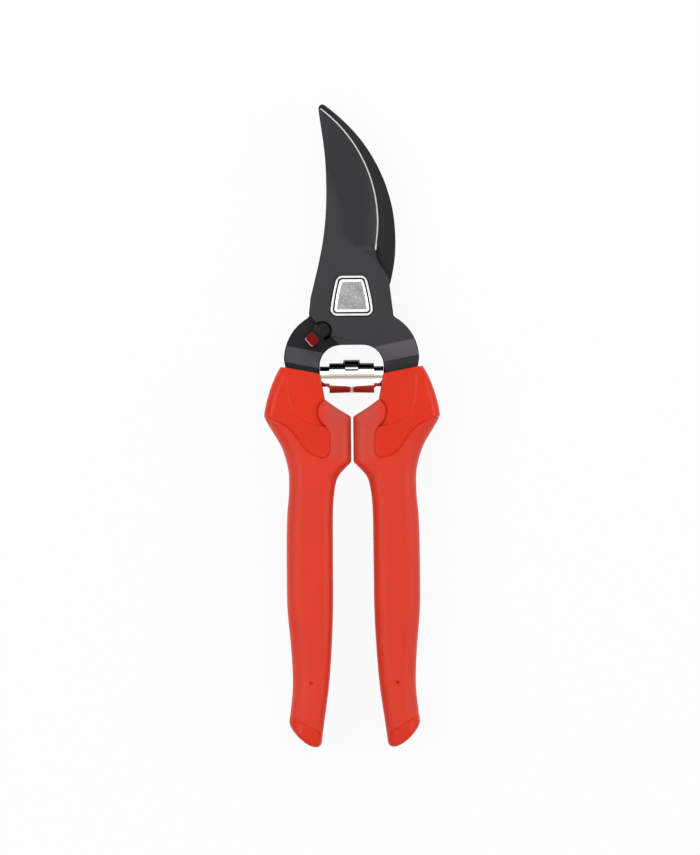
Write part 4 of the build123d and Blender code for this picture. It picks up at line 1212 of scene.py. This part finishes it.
def shaped_handle(sizes):
    """The right handle as one closed skin with its crease, seams, dimple and spring socket, in millimetres."""
    collar, face, tail = seam_fields()
    points, faces = handle_grid()
    mesh = bpy.data.meshes.new("handle_skin")
    mesh.from_pydata(points.tolist(), [], faces)
    shape = bmesh.new()
    shape.from_mesh(mesh)
    bpy.data.meshes.remove(mesh)
    bmesh.ops.recalc_face_normals(shape, faces=shape.faces)
    half_width, softness = sizes.seam_half_width / MM, sizes.crease_softness / MM

    def dimple(places):
        off_axis = np.linalg.norm(places[:, :2] - DIMPLE_PLACE, axis=1)
        return off_axis + ELSEWHERE * (places[:, 2] < HANDLE_MIDDLE)

    def socket(places):
        off_axis = np.hypot(places[:, 1] - SPRING_Y, places[:, 2] - HANDLE_MIDDLE)
        return off_axis + ELSEWHERE * (places[:, 0] > SOCKET_FLOOR_X + 1.0)

    def flat(field):
        return lambda places: field(places[:, :2])

    cuts = [(flat(face), level * softness) for level in CREASE_LEVELS]
    for field in (collar, tail):
        cuts += [(flat(field), level * half_width) for level in SEAM_LEVELS]
    cuts += [(dimple, radius) for radius in DIMPLE_RADII]
    cuts += [(socket, SOCKET_RADIUS), (socket, SOCKET_RADIUS - SOCKET_WALL)]
    for field, level in cuts:
        cut_along(shape, field(read_places(shape)), level)
    places = read_places(shape)
    front = soft_step((places[:, 2] - HANDLE_MIDDLE - FRONT_FROM) / FRONT_SOFTNESS)
    in_collar = collar(places[:, :2])
    tilt = np.maximum(CREASE[0][0] - places[:, 0], 0) * FACE_TILT
    low = np.minimum(places[:, 2], HANDLE_DEPTH - CREASE_SINK - tilt)
    drop = soft_step(face(places[:, :2]) / softness) * (in_collar > -0.02) * front
    places[:, 2] += drop * (low - places[:, 2])
    sunk = (socket(places) < SOCKET_RADIUS - SOCKET_WALL / 2) & (places[:, 0] < SOCKET_FLOOR_X)
    places[:, 0] = np.where(sunk, SOCKET_FLOOR_X, places[:, 0])
    put_places(shape, places)
    shape.normal_update()
    normals = np.array([vertex.normal for vertex in shape.verts])
    in_tail = tail(places[:, :2])
    depth = sizes.seam_depth / MM
    sink = depth * (1 - soft_step(np.abs(in_collar) / half_width))
    sink += SEAM_ON_TAIL * depth * (1 - soft_step(np.abs(in_tail) / half_width))
    sink *= SEAM_ON_SIDES + (1 - SEAM_ON_SIDES) * np.abs(normals[:, 2])
    sink += DIMPLE_DEPTH * (1 - soft_step((dimple(places) - DIMPLE_FLOOR) / DIMPLE_WALL))
    places -= normals * sink[:, None]
    places[:, 2] = np.clip(places[:, 2], 0.0, HANDLE_DEPTH)
    places[:, 1] = np.maximum(places[:, 1], CAD_BOX[0][1] / MM - PIVOT_Y)
    put_places(shape, places)
    return shape, in_collar, in_tail


def cut_out(shape, wanted):
    """A closed copy of the faces that are wanted, with its cut edges turned in and capped."""
    part = shape.copy()
    part.faces.ensure_lookup_table()
    spare = [face for face, keep in zip(part.faces, wanted) if not keep]
    bmesh.ops.delete(part, geom=spare, context="FACES")
    part.normal_update()
    rim = [edge for edge in part.edges if edge.is_boundary]
    inward = {vertex: vertex.normal.copy() for edge in rim for vertex in edge.verts}
    grown = bmesh.ops.extrude_edge_only(part, edges=rim)["geom"]
    fresh = [item for item in grown if isinstance(item, bmesh.types.BMVert)]
    spots = {tuple(round(value, 5) for value in vertex.co): normal for vertex, normal in inward.items()}
    for vertex in fresh:
        vertex.co -= spots[tuple(round(value, 5) for value in vertex.co)] * LIP_DEPTH
        vertex.co.z = min(max(vertex.co.z, 0.0), HANDLE_DEPTH)
    open_edges = [edge for edge in part.edges if edge.is_boundary]
    caps = bmesh.ops.holes_fill(part, edges=open_edges, sides=0)["faces"]
    bmesh.ops.triangulate(part, faces=caps)
    bmesh.ops.recalc_face_normals(part, faces=part.faces)
    return part


class SHEARS_OT_handles(bpy.types.Operator):
    """Mould the hard collars and tails and the soft grips"""

    bl_idname = "shears.handles"
    bl_label = "Handles"

    def execute(self, context):
        sizes, colours = context.scene.shears_sizes, context.scene.shears_colours
        hard = red_finish("hard_red_plastic", colours.hard_red, 0.26, 0.36, 0.95, 700.0, 0.05,
                          Specular_IOR_Level=0.17)
        soft = red_finish("soft_red_grip", colours.soft_red, 0.42, 0.54, 0.93, 1700.0, 0.16,
                          Specular_IOR_Level=0.3, Sheen_Weight=0.22, Sheen_Roughness=0.35,
                          Sheen_Tint=(0.9, 0.78, 0.75, 1.0))
        shape, in_collar, in_tail = shaped_handle(sizes)
        shape.verts.index_update()
        corners = [[vertex.index for vertex in face.verts] for face in shape.faces]
        is_hard = [in_collar[index].mean() > 0 or in_tail[index].mean() > 0 for index in corners]
        for name, wanted, material, node in (
            ("collar_and_tail", is_hard, hard, "handle_core"),
            ("soft_grip", [not value for value in is_hard], soft, "grip"),
        ):
            part = cut_out(shape, wanted)
            for side, sign in (("right", 1.0), ("left", -1.0)):
                mesh = bpy.data.meshes.new(f"{side}_{name}")
                part.to_mesh(mesh)
                places = np.array([vertex.co for vertex in mesh.vertices]) * (sign, 1.0, 1.0)
                mesh.vertices.foreach_set("co", in_frame(places).astype(np.float32).ravel())
                if sign < 0:
                    mesh.flip_normals()
                mesh.shade_smooth()
                mesh.set_sharp_from_angle(angle=math.radians(SKIN_SHARP_ANGLE))
                # Painted shade: steep sides of the skin are marked for a duller red
                lean = np.abs([vertex.normal.z for vertex in mesh.vertices])
                mark(mesh, "steep_shade", soft_step((STEEP_FROM - lean) / STEEP_FROM))
                # Painted sheen: the soft grip's flanks are marked for a pinkish-grey red, strongest towards the
                # collar
                flank_sheen = soft_step((FLANK_TINT_X - np.abs(places[:, 0])) / FLANK_TINT_SOFTNESS)
                flank_sheen *= soft_step((places[:, 1] - FLANK_FOOT_Y) / FLANK_TINT_SOFTNESS)
                flank_sheen *= np.interp(places[:, 1], *FLANK_TINT_SHARE)
                mark(mesh, "flank_sheen", flank_sheen if node == "grip" else flank_sheen * 0.0)
                stand_for(new_piece(f"{side}_{name}", mesh, material), f"{side}_{node}")
            part.free()
        shape.free()
        return {"FINISHED"}


def seen_directly(wiring):
    """1 for rays of the camera, of reflections and of clear pieces, 0 for the light that falls on things."""
    rays = wiring.add("ShaderNodeLightPath").outputs
    seen = wiring.math("MAXIMUM", rays["Is Camera Ray"], rays["Is Glossy Ray"])
    return wiring.math("MAXIMUM", seen, rays["Is Transmission Ray"])


class SHEARS_OT_stage(bpy.types.Operator):
    """Set the floor, the lamps and the camera"""

    bl_idname = "shears.stage"
    bl_label = "Stage"

    def execute(self, context):
        scene, sizes, colours = context.scene, context.scene.shears_sizes, context.scene.shears_colours
        scene.view_settings.view_transform = "Standard"
        self.make_floor(colours)
        self.make_world(scene)
        for name, (place, size, power) in LAMPS.items():
            lamp = bpy.data.lights.new(name, "AREA")
            lamp.size, lamp.energy = size, power
            holder = bpy.data.objects.new(name, lamp)
            holder.location = place
            holder.rotation_euler = (-Vector(place)).to_track_quat("-Z", "Y").to_euler()
            scene.collection.objects.link(holder)
        camera = bpy.data.cameras.new("camera")
        camera.lens, camera.sensor_width = LENS, SENSOR_WIDTH
        camera.clip_start, camera.clip_end = 0.01, 20.0
        holder = bpy.data.objects.new("camera", camera)
        holder.location = (*(value * MM for value in CAMERA_PLACE), sizes.camera_distance + HANDLE_MIDDLE * MM)
        holder.rotation_euler = (0.0, 0.0, math.radians(CAMERA_TURN))
        scene.collection.objects.link(holder)
        scene.camera = holder
        return {"FINISHED"}

    def make_floor(self, colours):
        """A wide pale floor that looks white and still takes the shadow."""
        mesh = bpy.data.meshes.new("floor")
        square = ((-1, -1), (1, -1), (1, 1), (-1, 1))
        corners = [(x * FLOOR_REACH, y * FLOOR_REACH, FLOOR_LEVEL * MM) for x, y in square]
        mesh.from_pydata(corners, [], [(0, 1, 2, 3)])
        material = bpy.data.materials.new("pale_floor")
        material.use_nodes = True
        wiring = Wiring(material.node_tree)
        nodes = material.node_tree.nodes
        lit = nodes["Principled BSDF"]
        lit.inputs["Base Color"].default_value = colours.floor
        lit.inputs["Roughness"].default_value = 0.9
        lit.inputs["Specular IOR Level"].default_value = 0.1
        glow = wiring.add("ShaderNodeEmission", {"Color": WHITE, "Strength": 1.0})
        share = wiring.math("MULTIPLY", seen_directly(wiring), FLOOR_GLOW_SHARE)
        mixed = wiring.add("ShaderNodeMixShader", {0: share, 1: lit.outputs[0], 2: glow.outputs[0]})
        wiring.put(nodes["Material Output"].inputs[0], mixed.outputs[0])
        floor = new_piece("floor", mesh, material)

    def make_world(self, scene):
        """A white surround that throws only a little light."""
        world = bpy.data.worlds.new("studio")
        world.use_nodes = True
        wiring = Wiring(world.node_tree)
        nodes = world.node_tree.nodes
        strength = wiring.ramp(seen_directly(wiring), 0.0, 1.0, WORLD_LIGHT, 1.0)
        wiring.put(nodes["Background"].inputs["Strength"], strength)
        nodes["Background"].inputs["Color"].default_value = WHITE
        scene.world = world


PIECE_OPERATORS = [
    SHEARS_OT_stage, SHEARS_OT_blades, SHEARS_OT_pivot, SHEARS_OT_badge,
    SHEARS_OT_lock, SHEARS_OT_spring, SHEARS_OT_handles,
]


class SHEARS_PT_sidebar(bpy.types.Panel):
    """Lists the pieces of the shears and their sizes"""

    bl_idname = "SHEARS_PT_sidebar"
    bl_label = "Pruning Shears"
    bl_space_type = "VIEW_3D"
    bl_region_type = "UI"
    bl_category = "Shears"

    def draw(self, context):
        for operator in PIECE_OPERATORS:
            self.layout.operator(operator.bl_idname)
        for group in (context.scene.shears_sizes, context.scene.shears_colours):
            for name in group.__annotations__:
                self.layout.prop(group, name)


CLASSES = [ShearsSizes, ShearsColours, *PIECE_OPERATORS, SHEARS_PT_sidebar]


def register():
    for each in CLASSES:
        bpy.utils.register_class(each)
    bpy.types.Scene.shears_sizes = bpy.props.PointerProperty(type=ShearsSizes)
    bpy.types.Scene.shears_colours = bpy.props.PointerProperty(type=ShearsColours)


def unregister():
    del bpy.types.Scene.shears_colours
    del bpy.types.Scene.shears_sizes
    for each in reversed(CLASSES):
        bpy.utils.unregister_class(each)


def main():
    register()
    bpy.ops.shears.stage()
    bpy.ops.shears.blades()
    bpy.ops.shears.pivot()
    bpy.ops.shears.badge()
    bpy.ops.shears.lock()
    bpy.ops.shears.spring()
    bpy.ops.shears.handles()


if __name__ == "__main__":
    main()
